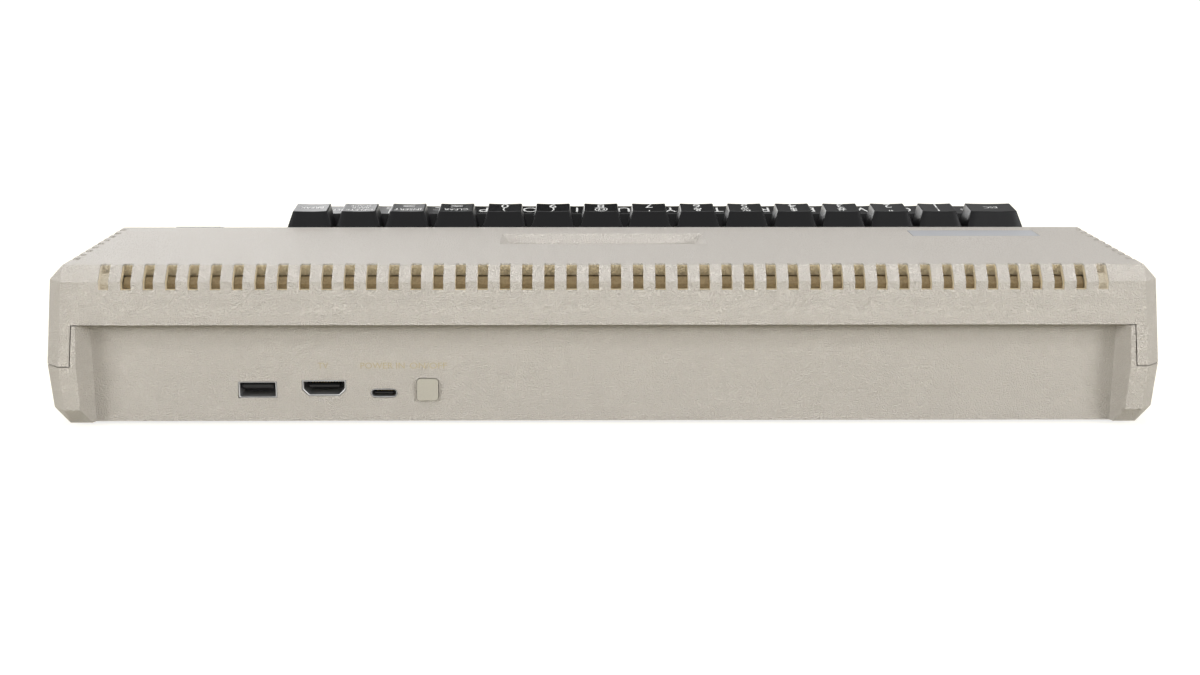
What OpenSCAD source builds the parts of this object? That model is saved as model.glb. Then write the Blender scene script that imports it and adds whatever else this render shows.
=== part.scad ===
// Full-size home computer: two-part moulded case with a flat vented deck at the
// rear, a sloping keyboard in front, and its sockets in a recess at the back.
// Millimetres. X to the user's right, Y to the back, Z up. The origin is on the
// table, under the middle of the case.

/* [Case] */
// Height of the front edge above the seam
front_rise = 7.2; // [6:0.1:12]
// Height of the seam above the underside
seam_h = 21.7; // [20:0.1:23]
// Depth of the flat rear deck
deck_d = 79.25; // [77:0.25:84]
// Wall thickness of both shells
wall = 3; // [2.4:0.1:3.4]
// Inward lean of the walls above the seam, degrees
upper_draft = 4.4; // [3:0.1:5]
// Inward lean of the walls below the seam, degrees
lower_draft = 3.7; // [2:0.1:5]
// Width of the bevel round the deck
bevel_w = 4.7; // [3.5:0.1:6]
// Height of the bevel round the deck
bevel_h = 5; // [4:0.1:6.5]
// Width of the chamfer on the upright corners
corner = 5; // [3:0.1:7]
// Width of the chamfer round the underside
foot_chamfer_w = 5.1; // [3:0.1:7]
// Height of the chamfer round the underside
foot_chamfer_h = 5.8; // [4:0.1:8]
// Bevel along the front edge of the lip
front_bevel = 3.2; // [2:0.1:4.5]
// Open joint between the two shells
seam_gap = 0.4; // [0.3:0.05:0.8]
// Height that the rubber feet stand out
foot_h = 1.5; // [1:0.1:3]

/* [Vents] */
// Distance between neighbouring vent slots
vent_pitch = 7.62; // [7:0.02:7.7]
// Width of one vent slot
vent_w = 3.58; // [2.5:0.02:4.5]
// How far a slot runs over the deck
vent_run = 2.65; // [2:0.05:4]
// How far a slot runs down the wall, from the deck
vent_drop = 8; // [7:0.1:9]
// Number of slots along the rear, with a blind one at each end
vent_count = 46; // [20:2:46]
// Number of slots along each side
side_vent_count = 9; // [4:1:9]
// Distance from the rear ridge to the first side slot
side_vent_start = 11.87; // [11:0.1:16]

/* [Rear recess] */
// Height from the deck down to the edge of the brow
brow_drop = 19.95; // [17:0.05:22]
// Depth of the rear panel behind the ridge of the deck
panel_back = 1; // [0.5:0.1:2.5]
// Half width of the rear panel short of the case side
panel_margin = 14.7; // [13:0.1:18]
// Splay of the recess ends, sideways per unit of depth
recess_splay = 0.45; // [0.3:0.005:0.8]
// Width of the ear of the upper shell at each rear corner
ear_w = 8.75; // [7:0.05:9.2]

/* [Ports] */
// Place of the USB-A socket from the middle
usb_a_x = 121.55; // [118:0.05:124]
// Place of the HDMI socket from the middle
hdmi_x = 98.3; // [96:0.05:101]
// Place of the USB-C socket from the middle
usb_c_x = 77.35; // [75:0.05:79]
// Place of the power button from the middle
button_x = 62; // [58:0.05:63]
// Width of the power button
button_w = 7.4; // [6:0.1:8]
// Height of the power button
button_h = 7.7; // [6:0.1:8.4]
// How far the power button stands out of the panel
button_proud = 1; // [0.4:0.1:1.5]
// Travel of the power button
button_travel = 1.5; // [1:0.1:2]
// Distance between the two controller sockets
controller_pitch = 30; // [24:0.5:34]
// Place of the controller sockets from the middle of the case depth
controller_y = -20; // [-30:1:-12]

/* [Cartridge door] */
// Width of the recess in the deck
cart_w = 76.7; // [70:0.1:80]
// Depth of the recess, front to back
cart_d = 22.8; // [21:0.1:25]
// Distance from the rear ridge to the recess
cart_back = 41.5; // [38:0.1:44]
// Depth of the 45 degree funnel
cart_funnel = 3.2; // [2.4:0.1:3.6]
// Thickness of the door
door_t = 1.8; // [1.4:0.1:2.2]
// Radius of the hinge pin
pin_r = 1; // [0.8:0.05:1.2]

/* [Badge] */
// Width of the bare badge plate
badge_w = 48.2; // [40:0.1:52]
// Depth of the badge plate
badge_d = 12.4; // [9:0.1:13]
// Distance from the left end of the deck to the badge plate
badge_side = 20.15; // [12:0.05:30]
// Distance from the front edge of the deck to the badge plate
badge_front = 8.05; // [6:0.05:10]
// Thickness of the badge plate
badge_t = 0.8; // [0.5:0.1:1.2]

/* [Keyboard] */
// Slope of the keyboard, degrees
kb_slope = 11.3; // [10.5:0.1:12]
// Distance between neighbouring keys
pitch = 19.05; // [18.6:0.05:19.1]
// Distance from the front edge of the deck to the first row
row1_y = 10.5; // [10.4:0.05:11.2]
// Gap between the skirts of neighbouring keys
cap_gap = 0.95; // [0.8:0.05:1.6]
// Width of a key top
cap_top_w = 13.25; // [12.5:0.05:14]
// Depth of a key top
cap_top_d = 11.5; // [10.5:0.05:12.5]
// How far the rear edge of a key top lies inside the skirt
cap_setback = 2.6; // [1.5:0.1:3]
// Height of a key top at its rear edge, above the bezel
cap_rear_h = 8.3; // [7.8:0.1:9]
// Rise of a key top towards its front edge
cap_rise = 3.55; // [2.5:0.05:4]
// Depth of the dish in a key top
cap_dish = 0.2; // [0.15:0.05:0.6]
// Travel of a key
key_travel = 3.6; // [3:0.1:3.8]
// Radius of a key stem
stem_r = 2.8; // [2.4:0.1:3]

/* [Bezel] */
// How far the bezel lies below the deck edge
bezel_drop = 1.8; // [1.2:0.1:2]
// Thickness of the bezel
bezel_t = 2.5; // [2:0.1:2.8]
// Bezel to the left of the keys
left_strip = 11.65; // [11.5:0.05:14]
// Bezel to the right of the console keys
right_strip = 11.05; // [9:0.05:12]
// Bezel in front of the keys
front_strip = 31.05; // [30:0.05:36]
// Beige border beside the bezel
side_border = 8.25; // [8:0.05:8.6]
// Beige lip in front of the bezel
front_lip = 12; // [11:0.1:14]
// Width of the ledge that carries the bezel
ledge = 5; // [4:0.1:5]

/* [Console keys] */
// Bezel between the keys and the console keys
console_gap = 25.3; // [24:0.05:32]
// Width of a console key
console_w = 17.5; // [17:0.1:18.4]
// Depth of a console key
console_d = 13.4; // [11:0.1:13.6]
// Height of a console key above the bezel
console_h = 2.2; // [1.5:0.1:3]
// Travel of a console key
console_travel = 1.5; // [1:0.1:1.7]
// Radius of the power light
led_r = 2.5; // [1.5:0.1:2.6]

/* [Clearances] */
// Gap round the cap row in the bezel window
window_gap = 0.5; // [0.4:0.05:0.8]
// Gap round a part that is laid into a pocket
lay_gap = 0.2; // [0.1:0.05:0.3]
// Gap round a console key or the power button
button_gap = 0.2; // [0.15:0.05:0.4]
// Radial clearance of a stem in its guide
stem_gap = 0.1; // [0.05:0.01:0.1]
// Radial clearance of the door on its pin
pin_gap = 0.06; // [0.03:0.01:0.1]
// Radial clearance of a screw
screw_gap = 0.05; // [0.03:0.01:0.1]

/* [Hidden] */
$fn = 48;
big = 900;
eps = 0.01;

// Colours
CASE = [0.80, 0.77, 0.70];
DARK = [0.10, 0.10, 0.10];
STEEL = [0.66, 0.67, 0.68];
BOARD = [0.05, 0.27, 0.14];
RUBBER = [0.16, 0.16, 0.17];
TAN = [0.42, 0.36, 0.26];

// Keyboard plan, in the plane of the bezel: y runs up the slope from the crease
kb_units = 15.25;
rows = 5;
kb_rear = -row1_y + (pitch - cap_gap) / 2;
kb_front = -row1_y - (rows - 1) * pitch - (pitch - cap_gap) / 2;
bezel_x = (left_strip + kb_units * pitch + console_gap + console_w + right_strip) / 2;
kb_left = left_strip - bezel_x;
kb_right = kb_left + kb_units * pitch;
console_x = bezel_x - right_strip - console_w / 2;
pocket_rear = -0.6;
bezel_front = kb_front - front_strip;
slope_len = front_lip - bezel_front;
window_front = kb_front - window_gap;
window_left = kb_left + cap_gap / 2 - window_gap;
window_right = kb_right - cap_gap / 2 + window_gap;

// Heights
up = tan(upper_draft);
low = tan(lower_draft);
front_run = slope_len * cos(kb_slope) - up * front_rise;
case_h = seam_h + front_rise + front_run * tan(kb_slope);
base_z = foot_h;
deck_z = base_z + case_h;
seam_z = base_z + seam_h;
floor_z = base_z + wall;
bevel_z = deck_z - bevel_h;
brow_z = deck_z - brow_drop;
chamfer_z = base_z + foot_chamfer_h;

// Plan
lean = up * (bevel_z - seam_z);
deck_x = bezel_x + side_border;
wall_x = deck_x + bevel_w;
half_w = wall_x + lean;
half_d = (slope_len * cos(kb_slope) + deck_d + bevel_w + lean) / 2;
wall_y = half_d - lean;
ridge_y = wall_y - bevel_w;
crease_y = ridge_y - deck_d;
chamfer_x = half_w - low * (seam_z - chamfer_z);
chamfer_y = half_d - low * (seam_z - chamfer_z);
panel_y = ridge_y - panel_back;
panel_in_y = panel_y - wall;
panel_x = half_w - panel_margin;
badge_x = badge_side + badge_w / 2 - deck_x;

// Heights in the keyboard, from the top face of the bezel
skirt_z = -2;
shoulder_z = 0;
cap_ceiling = 5;
frame_top = skirt_z - key_travel - 0.6;
frame_t = 2;
frame_low = frame_top - frame_t;
guide_top = frame_top + 3.8;
guide_r = stem_r + 1.8;
stem_end = frame_low - 0.9;
dome_top = stem_end - key_travel - 0.2;
dome_h = 1;
dome_sheet_t = 0.8;
dome_low = dome_top - dome_h - dome_sheet_t;
membrane_t = 0.4;
membrane_low = dome_low - membrane_t;
back_plate_t = 1.2;
back_plate_low = membrane_low - back_plate_t;
ledge_t = 2.5;
ledge_low = -bezel_t - ledge_t;
frame_margin = 9;
frame_wall = 1.6;
frame_rear = 2;
frame_front = kb_front - frame_margin;
frame_left = kb_left - 7;
frame_right = kb_right + 7;

// Console keys
console_flange = 1.3;
console_flange_t = 1.5;
console_low = -bezel_t - button_gap - console_flange_t;
console_push = console_low - 0.7;
switch_top = console_push - console_travel - 0.2;
console_board_top = switch_top - 3.6;
board_t = 1.6;
console_rows = 5;
led_y = -row1_y - console_rows * pitch - 5.5;

// Boards behind the ports
board_top = base_z + 8.4;
board_low = board_top - board_t;
board_left = button_x - 20;
board_right = usb_a_x + 24;
button_flange = 1;
board_rear = panel_in_y - button_gap - button_flange - button_travel - 0.4;
board_d = 68;
board_front = board_rear - board_d;
port_depth = 14;
side_board_w = 20;
side_inner_x = half_w - low * (seam_z - board_low) - wall;
side_board_x = side_inner_x - 1.2;
side_board_l = controller_pitch + 30;

// Screws
screw_r = 1.25;
boss_r = 4;
boss_top = base_z + 15;
case_boss_x = half_w - 29;
case_boss_rear = ridge_y - 19;
case_boss_front = -half_d + 13.6;
case_bosses = [[-case_boss_x, case_boss_rear], [0, case_boss_rear],
               [case_boss_x, case_boss_rear], [-case_boss_x, case_boss_front],
               [0, case_boss_front], [case_boss_x, case_boss_front]];
head_r = 2.8;
head_h = 1.8;
head_z = base_z + 5;
screw_bite = 9;
foot_r = 6;
foot_recess = 1;
feet = [for (x = [-1, 1], y = [-1, 1]) [x * (half_w - 34), y * (half_d - 36)]];

// Cartridge door
slot_w = cart_w - 2 * cart_funnel;
slot_d = cart_d - 2 * cart_funnel;
slot_rear = ridge_y - cart_back - cart_funnel;
slot_front = slot_rear - slot_d;
well_low = deck_z - cart_funnel - 2;
door_top = well_low - 0.3;
barrel_r = pin_r + 0.9;
door_axis_y = slot_rear + 1.2;
door_axis_z = door_top - barrel_r;
door_w = slot_w + 3;
door_overlap = 1.5;
lug_t = 3;
lug_gap = 0.3;

// ---------------------------------------------------------------- helpers

function unit(v) = v / norm(v);

// All that lies beyond the plane through p with outward normal n
module beyond(p, n, inset) {
    u = unit(n);
    translate(p - inset * u)
        rotate([0, acos(u[2]), atan2(u[1], u[0])])
            translate([-big, -big, 0])
                cube([2 * big, 2 * big, big]);
}

// The solid inside a set of planes, each moved in by inset
module within(planes, inset, low_z, high_z, n = 0) {
    if (n == len(planes))
        translate([-half_w - 5, -half_d - 5, low_z])
            cube([2 * half_w + 10, 2 * half_d + 10, high_z - low_z]);
    else
        difference() {
            within(planes, inset, low_z, high_z, n + 1);
            beyond(planes[n][0], planes[n][1], inset);
        }
}

// A box from its lowest and highest corner
module span(a, b) {
    translate(a)
        cube(b - a);
}

// Children drawn on the bezel: z is the height over its top face
module on_bezel() {
    translate([0, crease_y, deck_z])
        rotate([kb_slope, 0, 0])
            translate([0, 0, -bezel_drop])
                children();
}

// The same piece on both sides of the case
module both_sides() {
    children();
    mirror([1, 0, 0])
        children();
}

// ------------------------------------------------------------ case forms

corner_k = (2 * bevel_w - corner) / bevel_h;
front_edge_y = -half_d + up * front_rise;
front_edge_z = deck_z - (crease_y - front_edge_y) * tan(kb_slope);

upper_planes = concat(
    [[[0, 0, deck_z], [0, 0, 1]],
     [[0, crease_y, deck_z], [0, -sin(kb_slope), cos(kb_slope)]],
     [[0, half_d, seam_z], [0, 1, up]],
     [[0, -half_d, seam_z], [0, -1, up]],
     [[0, ridge_y, deck_z], [0, bevel_h, bevel_w]],
     [[0, front_edge_y + front_bevel, front_edge_z], [0, -1, 0.75]]],
    [for (s = [-1, 1]) each
        [[[s * half_w, 0, seam_z], [s, 0, up]],
         [[s * deck_x, 0, deck_z], [s * bevel_h, 0, bevel_w]],
         [[s * deck_x, crease_y, deck_z],
          [s * bevel_h, -bevel_w * sin(kb_slope), bevel_w * cos(kb_slope)]],
         [[s * (half_w - corner), half_d, seam_z], [s, 1, 2 * up]],
         [[s * (half_w - corner), -half_d, seam_z], [s, -1, 2 * up]],
         [[s * deck_x, ridge_y, deck_z], [s, 1, corner_k]],
         [[s * deck_x, front_edge_y + front_bevel, front_edge_z], [s, -1, 1.2]]]]);

foot_k = (2 * foot_chamfer_w - corner) / foot_chamfer_h;
lower_planes = concat(
    [[[0, 0, base_z], [0, 0, -1]],
     [[0, half_d, seam_z], [0, 1, -low]],
     [[0, -half_d, seam_z], [0, -1, -low]],
     [[0, chamfer_y, chamfer_z], [0, foot_chamfer_h, -foot_chamfer_w]],
     [[0, -chamfer_y, chamfer_z], [0, -foot_chamfer_h, -foot_chamfer_w]]],
    [for (s = [-1, 1]) each
        [[[s * half_w, 0, seam_z], [s, 0, -low]],
         [[s * chamfer_x, 0, chamfer_z], [s * foot_chamfer_h, 0, -foot_chamfer_w]],
         [[s * (half_w - corner), half_d, seam_z], [s, 1, -2 * low]],
         [[s * (half_w - corner), -half_d, seam_z], [s, -1, -2 * low]],
         [[s * (chamfer_x - corner), chamfer_y, chamfer_z], [s, 1, -foot_k]],
         [[s * (chamfer_x - corner), -chamfer_y, chamfer_z], [s, -1, -foot_k]]]]);

// ---------------------------------------------------------------- vents

// x of the rear slot i, and y of the side slot i
function vent_x(i) = ((vent_count - 1) / 2 - i) * vent_pitch;
function side_vent_y(i) = ridge_y - side_vent_start - i * vent_pitch;
vent_floor = 4.2;
vent_reach = 20;
blind_depth = 2.5;
blind_top = deck_z - 3.3;
baffle_depth = wall + 0.3;

module rear_slot(i) {
    translate([vent_x(i) - vent_w / 2, ridge_y - vent_run, deck_z - vent_drop])
        cube([vent_w, vent_reach, vent_reach]);
}

module side_slot(i) {
    translate([deck_x - vent_run, side_vent_y(i) - vent_w / 2, deck_z - vent_drop])
        cube([vent_reach, vent_w, vent_reach]);
}

module vent_slots() {
    for (i = [1 : vent_count - 2])
        rear_slot(i);
    both_sides()
        for (i = [0 : side_vent_count - 1])
            side_slot(i);
}

// Blind grooves that end the rear row
module blind_slots() {
    difference() {
        for (i = [0, vent_count - 1])
            rear_slot(i);
        within(upper_planes, blind_depth, seam_z, blind_top);
    }
}

module blind_backs() {
    intersection() {
        within(upper_planes, eps, seam_z, deck_z);
        for (i = [0, vent_count - 1])
            translate([vent_x(i) - vent_w, ridge_y - vent_run - 4, deck_z - vent_drop - 3])
                cube([2 * vent_w, vent_reach, vent_reach]);
    }
}

// Thickened deck that the slots run into
module vent_ribs() {
    rib_x = abs(vent_x(1)) + vent_w;
    rib_d = 4;
    span([-rib_x, ridge_y - vent_run - rib_d, deck_z - vent_floor],
         [rib_x, ridge_y - vent_run, deck_z - wall + eps]);
    both_sides()
        span([deck_x - vent_run - rib_d, side_vent_y(side_vent_count - 1) - vent_w,
              deck_z - vent_floor],
             [deck_x - vent_run, side_vent_y(0) + vent_w, deck_z - wall + eps]);
}

// ---------------------------------------------------------------- shells

// Opening of the upper shell's rear wall, short of the ears by gap
module brow_opening(gap) {
    low_x = half_w - ear_w - gap;
    top_x = low_x - up * (brow_z - seam_z);
    depth = half_d + 10 - panel_y + 6;
    translate([0, half_d + 10, 0])
        rotate([90, 0, 0])
            linear_extrude(height = depth)
                polygon([[-top_x, brow_z - gap], [top_x, brow_z - gap],
                         [low_x, seam_z], [low_x, seam_z - 10],
                         [-low_x, seam_z - 10], [-low_x, seam_z]]);
}

// Splayed recess round the rear panel
module rear_recess() {
    reach = 15;
    linear_extrude(height = brow_z)
        polygon([[-panel_x, panel_y], [panel_x, panel_y],
                 [panel_x + reach * recess_splay, panel_y + reach],
                 [-panel_x - reach * recess_splay, panel_y + reach]]);
}

module cart_cut() {
    mid_y = ridge_y - cart_back - cart_d / 2;
    translate([-slot_w / 2, slot_front, well_low - 5])
        cube([slot_w, slot_d, 20]);
    steep = [[1, 0], [-1, 0], [0, 1], [0, -1]];
    difference() {
        span([-cart_w / 2 - 2, mid_y - cart_d / 2 - 2, deck_z - cart_funnel],
             [cart_w / 2 + 2, mid_y + cart_d / 2 + 2, deck_z + 2]);
        for (d = steep)
            beyond([d[0] * cart_w / 2, mid_y + d[1] * cart_d / 2, deck_z],
                   [d[0], d[1], -1], 0);
    }
}

// Walls of the well under the deck, and the lugs of the hinge pin
module cart_well() {
    ring = 2.2;
    span([-slot_w / 2 - cart_funnel - ring, slot_front - cart_funnel - ring, well_low],
         [slot_w / 2 + cart_funnel + ring, slot_rear + cart_funnel + ring,
          deck_z - wall + eps]);
    both_sides()
        difference() {
            span([door_w / 2 + lug_gap, door_axis_y - 3, door_axis_z - barrel_r - 1],
                 [door_w / 2 + lug_gap + lug_t, door_axis_y + 3, well_low + eps]);
            translate([door_w / 2, door_axis_y, door_axis_z])
                rotate([0, 90, 0])
                    cylinder(r = pin_r + screw_gap, h = 2 * lug_t);
        }
}

module top_bosses() {
    seat_z = deck_z - (bezel_drop - ledge_low) / cos(kb_slope);
    for (p = case_bosses) {
        front_z = seat_z - (crease_y - p[1]) * tan(kb_slope) + ledge_t / 2;
        high_z = p[1] < 0 ? front_z : deck_z - wall + eps;
        translate([p[0], p[1], boss_top])
            cylinder(r = boss_r, h = high_z - boss_top);
    }
}

module boss_bores() {
    for (p = case_bosses)
        translate([p[0], p[1], boss_top - eps])
            cylinder(r = screw_r + screw_gap, h = screw_bite + 3);
}

module top_shell() {
    color(CASE)
        difference() {
            union() {
                difference() {
                    within(upper_planes, 0, seam_z, deck_z + 1);
                    within(upper_planes, wall, seam_z - 1, deck_z);
                }
                blind_backs();
                vent_ribs();
                cart_well();
                top_bosses();
                brow_ledge();
                bezel_seat();
            }
            on_bezel() {
                span([-bezel_x, bezel_front, -bezel_t], [bezel_x, pocket_rear, 20]);
                span([-bezel_x + ledge, bezel_front + ledge, ledge_low - 0.5],
                     [bezel_x - ledge, pocket_rear, 20]);
            }
            vent_slots();
            blind_slots();
            cart_cut();
            brow_opening(0);
            boss_bores();
            badge_pocket();
        }
}

module badge_pocket() {
    translate([badge_x - badge_w / 2 - lay_gap, crease_y + badge_front - lay_gap,
               deck_z - badge_t])
        cube([badge_w + 2 * lay_gap, badge_d + 2 * lay_gap, 5]);
}

// Inward flange that closes the brow against the rear panel
module brow_ledge() {
    intersection() {
        within(upper_planes, eps, seam_z, deck_z);
        span([-panel_x - 12, panel_y + lay_gap, brow_z],
             [panel_x + 12, half_d, brow_z + 2]);
    }
}

// Raised frame inside the upper shell that the bezel is laid into
module bezel_seat() {
    intersection() {
        within(upper_planes, eps, seam_z, deck_z);
        on_bezel()
            span([-bezel_x - wall, bezel_front - wall, ledge_low],
                 [bezel_x + wall, pocket_rear + wall, 10]);
    }
}

module bottom_shell() {
    lip = 1.5;
    lip_h = 3;
    color(CASE)
        difference() {
            union() {
                difference() {
                    within(lower_planes, 0, base_z, seam_z - seam_gap);
                    intersection() {
                        within(lower_planes, wall, floor_z, seam_z);
                        span([-half_w, -half_d, 0], [half_w, panel_in_y, deck_z]);
                    }
                }
                seam_lip(lip, lip_h);
                corner_tongues();
                span([-panel_x - 1, panel_in_y, floor_z],
                     [panel_x + 1, panel_y, brow_z + 5]);
                lower_bosses();
            }
            rear_recess();
            lower_boss_holes();
            port_holes();
            foot_pockets();
            floor_vents();
        }
}

// Lip that rises inside the upper shell along the sides and the front
module seam_lip(lip, lip_h) {
    gap = lay_gap + 0.1;
    difference() {
        intersection() {
            union() {
                within(upper_planes, wall + gap, seam_z - seam_gap - eps, seam_z + lip_h);
                within(lower_planes, eps, seam_z - lip_h, seam_z - seam_gap);
            }
            span([-half_w, -half_d, 0], [half_w, panel_in_y - 8, deck_z]);
        }
        within(upper_planes, wall + gap + lip, 0, deck_z);
    }
}

// Strips beside the ears, flush with the rear wall
module corner_tongues() {
    intersection() {
        within(upper_planes, 0, seam_z - seam_gap - eps, brow_z);
        brow_opening(seam_gap);
        both_sides()
            span([panel_x - 3, panel_in_y, 0], [half_w, half_d, deck_z]);
    }
}

module lower_bosses() {
    for (p = case_bosses)
        translate([p[0], p[1], floor_z - eps])
            cylinder(r = boss_r + 0.6, h = boss_top - floor_z + eps);
    for (p = board_posts())
        translate([p[0], p[1], floor_z - eps])
            cylinder(r = 3, h = board_low - floor_z + eps);
}

module lower_boss_holes() {
    for (p = case_bosses)
        translate([p[0], p[1], 0]) {
            cylinder(r = screw_r + 0.4, h = boss_top + 1);
            cylinder(r = head_r + 0.4, h = head_z);
        }
    for (p = board_posts())
        translate([p[0], p[1], floor_z])
            cylinder(r = 1 + screw_gap, h = 10);
}

module port_holes() {
    hole_gap = 0.1;
    depth = wall + 4;
    span([usb_a_x - 6.75 - hole_gap, panel_in_y - 2, board_top - hole_gap],
         [usb_a_x + 6.75 + hole_gap, panel_in_y + depth, board_top + 5.8 + hole_gap]);
    translate([hdmi_x, panel_in_y + depth, board_top])
        rotate([90, 0, 0])
            linear_extrude(height = depth + 2)
                hdmi_outline(hole_gap);
    translate([usb_c_x, panel_in_y - 2, board_top + 1.6])
        rotate([-90, 0, 0])
            linear_extrude(height = depth + 2)
                stadium(9.3 + 2 * hole_gap, 3.2 + 2 * hole_gap);
    translate([button_x, panel_in_y - 2, button_z])
        rotate([-90, 0, 0])
            linear_extrude(height = depth + 2)
                rounded(button_w + 2 * button_gap, button_h + 2 * button_gap,
                        1.2 + button_gap);
    for (s = [-0.5, 0.5])
        span([side_inner_x - 4, controller_y + s * controller_pitch - 6.75 - hole_gap,
              board_top - hole_gap],
             [half_w + 2, controller_y + s * controller_pitch + 6.75 + hole_gap,
              board_top + 5.8 + hole_gap]);
}

module foot_pockets() {
    for (p = feet)
        translate([p[0], p[1], 0])
            cylinder(r = foot_r + 0.1, h = base_z + foot_recess);
}

// Cooling slots in the floor, under the board
module floor_vents() {
    for (i = [-4 : 4])
        translate([(board_left + board_right) / 2 + i * 9 - 1.5, board_front + 14, 0])
            cube([3, 34, floor_z + 1]);
}

// ------------------------------------------------------------ small shapes

module rounded(w, h, r) {
    for (x = [-1, 1], y = [-1, 1])
        translate([x * (w / 2 - r), y * (h / 2 - r)])
            circle(r = r);
    square([w - 2 * r, h], center = true);
    square([w, h - 2 * r], center = true);
}

module stadium(w, h) {
    for (x = [-1, 1])
        translate([x * (w - h) / 2, 0])
            circle(d = h);
    square([w - h, h], center = true);
}

// Outline of an HDMI socket standing on the board, grown by g
module hdmi_outline(g) {
    half = hdmi_w / 2 + g;
    foot = hdmi_z + hdmi_cut - g / 2;
    toe = half - hdmi_cut - g / 2;
    polygon([[-half, hdmi_z + hdmi_h + g], [half, hdmi_z + hdmi_h + g], [half, foot],
             [toe, hdmi_z - g], [-toe, hdmi_z - g], [-half, foot]]);
}

// ---------------------------------------------------------------- deck parts

module badge_plate() {
    color(STEEL)
        translate([badge_x - badge_w / 2, crease_y + badge_front, deck_z - badge_t])
            cube([badge_w, badge_d, badge_t]);
}

// Bent strips that hide the inside of the case behind the vent slots
module vent_baffles() {
    gap = 0.3;
    strip_t = 1.2;
    reach = vent_run + 2;
    high_z = deck_z - vent_floor - gap;
    rear_x = abs(vent_x(1)) + vent_w / 2 - 0.2;
    side_rear = side_vent_y(0) + vent_w / 2 + gap;
    side_front = side_vent_y(side_vent_count - 1) - vent_w / 2 - gap;
    low_z = deck_z - vent_drop - 3;
    color(TAN)
        intersection() {
            difference() {
                within(upper_planes, baffle_depth, low_z, high_z);
                within(upper_planes, baffle_depth + strip_t, low_z - 1, high_z - strip_t);
            }
            union() {
                span([-rear_x, ridge_y - reach, low_z], [rear_x, half_d, deck_z]);
                both_sides()
                    span([deck_x - reach, side_front, low_z], [half_w, side_rear, deck_z]);
            }
        }
}

module door_cylinder(r, length) {
    translate([-length / 2, door_axis_y, door_axis_z])
        rotate([0, 90, 0])
            cylinder(r = r, h = length);
}

module cartridge_door() {
    color(CASE)
        difference() {
            union() {
                span([-door_w / 2, slot_front - door_overlap, door_top - door_t],
                     [door_w / 2, door_axis_y, door_top]);
                door_cylinder(barrel_r, door_w);
            }
            door_cylinder(pin_r + pin_gap, 2 * door_w);
        }
}

module door_pin() {
    color(STEEL)
        door_cylinder(pin_r, door_w + 2 * (lug_gap + lug_t));
}

// ---------------------------------------------------------------- keyboard

// Key widths of each row, in units of the pitch, and where each row starts
row_units = [[1.25, for (i = [1 : 14]) 1],
             [1.75, for (i = [1 : 12]) 1, 1.5],
             [2, for (i = [1 : 12]) 1, 1.25],
             [2.5, for (i = [1 : 10]) 1, 1.75, 1],
             [9]];
row_start = [0, 0, 0, 0, 3.375];
function sum_to(list, n) = n <= 0 ? 0 : list[n - 1] + sum_to(list, n - 1);
function key_x(r, i) =
    kb_left + (row_start[r] + sum_to(row_units[r], i) + row_units[r][i] / 2) * pitch;
function key_y(r) = -row1_y - r * pitch;

// Stems under a key: a wide bar has one at each end too
function stem_offsets(units) = units > 4 ? [-3 * pitch, 0, 3 * pitch] : [0];
stems = [for (r = [0 : rows - 1]) for (i = [0 : len(row_units[r]) - 1])
         for (dx = stem_offsets(row_units[r][i])) [key_x(r, i) + dx, key_y(r)]];

// Sloping part of a cap: its top rises towards the front
module cap_block(w) {
    d = pitch - cap_gap;
    top_w = w - (d - cap_top_w);
    rear = d / 2 - cap_setback;
    front = rear - cap_top_d;
    polyhedron(
        points = [[-w / 2, -d / 2, skirt_z], [w / 2, -d / 2, skirt_z],
                  [w / 2, d / 2, skirt_z], [-w / 2, d / 2, skirt_z],
                  [-w / 2, -d / 2, shoulder_z], [w / 2, -d / 2, shoulder_z],
                  [w / 2, d / 2, shoulder_z], [-w / 2, d / 2, shoulder_z],
                  [-top_w / 2, front, cap_rear_h + cap_rise],
                  [top_w / 2, front, cap_rear_h + cap_rise],
                  [top_w / 2, rear, cap_rear_h], [-top_w / 2, rear, cap_rear_h]],
        faces = [[0, 1, 2, 3], [0, 4, 5, 1], [1, 5, 6, 2], [2, 6, 7, 3], [3, 7, 4, 0],
                 [4, 8, 9, 5], [6, 10, 11, 7], [5, 9, 6], [9, 10, 6],
                 [7, 8, 4], [7, 11, 8], [8, 11, 10, 9]]);
}

// Round trough along the middle of a cap top, cap_dish deep, with a narrow land beside it
module cap_trough(w) {
    d = pitch - cap_gap;
    land = 0.3;
    half = (w - d + cap_top_w) / 2 - land;
    trough_r = (half * half + cap_dish * cap_dish) / (2 * cap_dish);
    rear = d / 2 - cap_setback;
    translate([0, rear, cap_rear_h])
        rotate([-atan(cap_rise / cap_top_d), 0, 0])
            translate([0, 0, trough_r - cap_dish])
                rotate([90, 0, 0])
                    translate([0, 0, -cap_top_d])
                        cylinder(r = trough_r, h = 3 * cap_top_d, $fn = 360);
}

module typing_key(units) {
    w = units * pitch - cap_gap;
    cavity_w = w - 4.5;
    cavity_d = 13;
    difference() {
        cap_block(w);
        if (units < 4)
            cap_trough(w);
        span([-cavity_w / 2, -cavity_d / 2 + 0.4, skirt_z - 1],
             [cavity_w / 2, cavity_d / 2, cap_ceiling]);
    }
    for (dx = stem_offsets(units))
        translate([dx, 0, stem_end]) {
            cylinder(r = stem_r, h = cap_ceiling - stem_end + eps);
            cylinder(r = stem_r + 0.5, h = frame_low - stem_gap - stem_end);
        }
}

module key(r, i) {
    color(DARK)
        on_bezel()
            translate([key_x(r, i), key_y(r), 0])
                typing_key(row_units[r][i]);
}

module key_run(r, first, last) {
    for (i = [first : last])
        key(r, i);
}

post_r = 2.6;
thread_r = 1;
plate_post_r = 2.4;
wall_out = 1.2;
post_left = max(kb_left - 3.9, ledge - bezel_x + post_r + 0.1);

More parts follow.
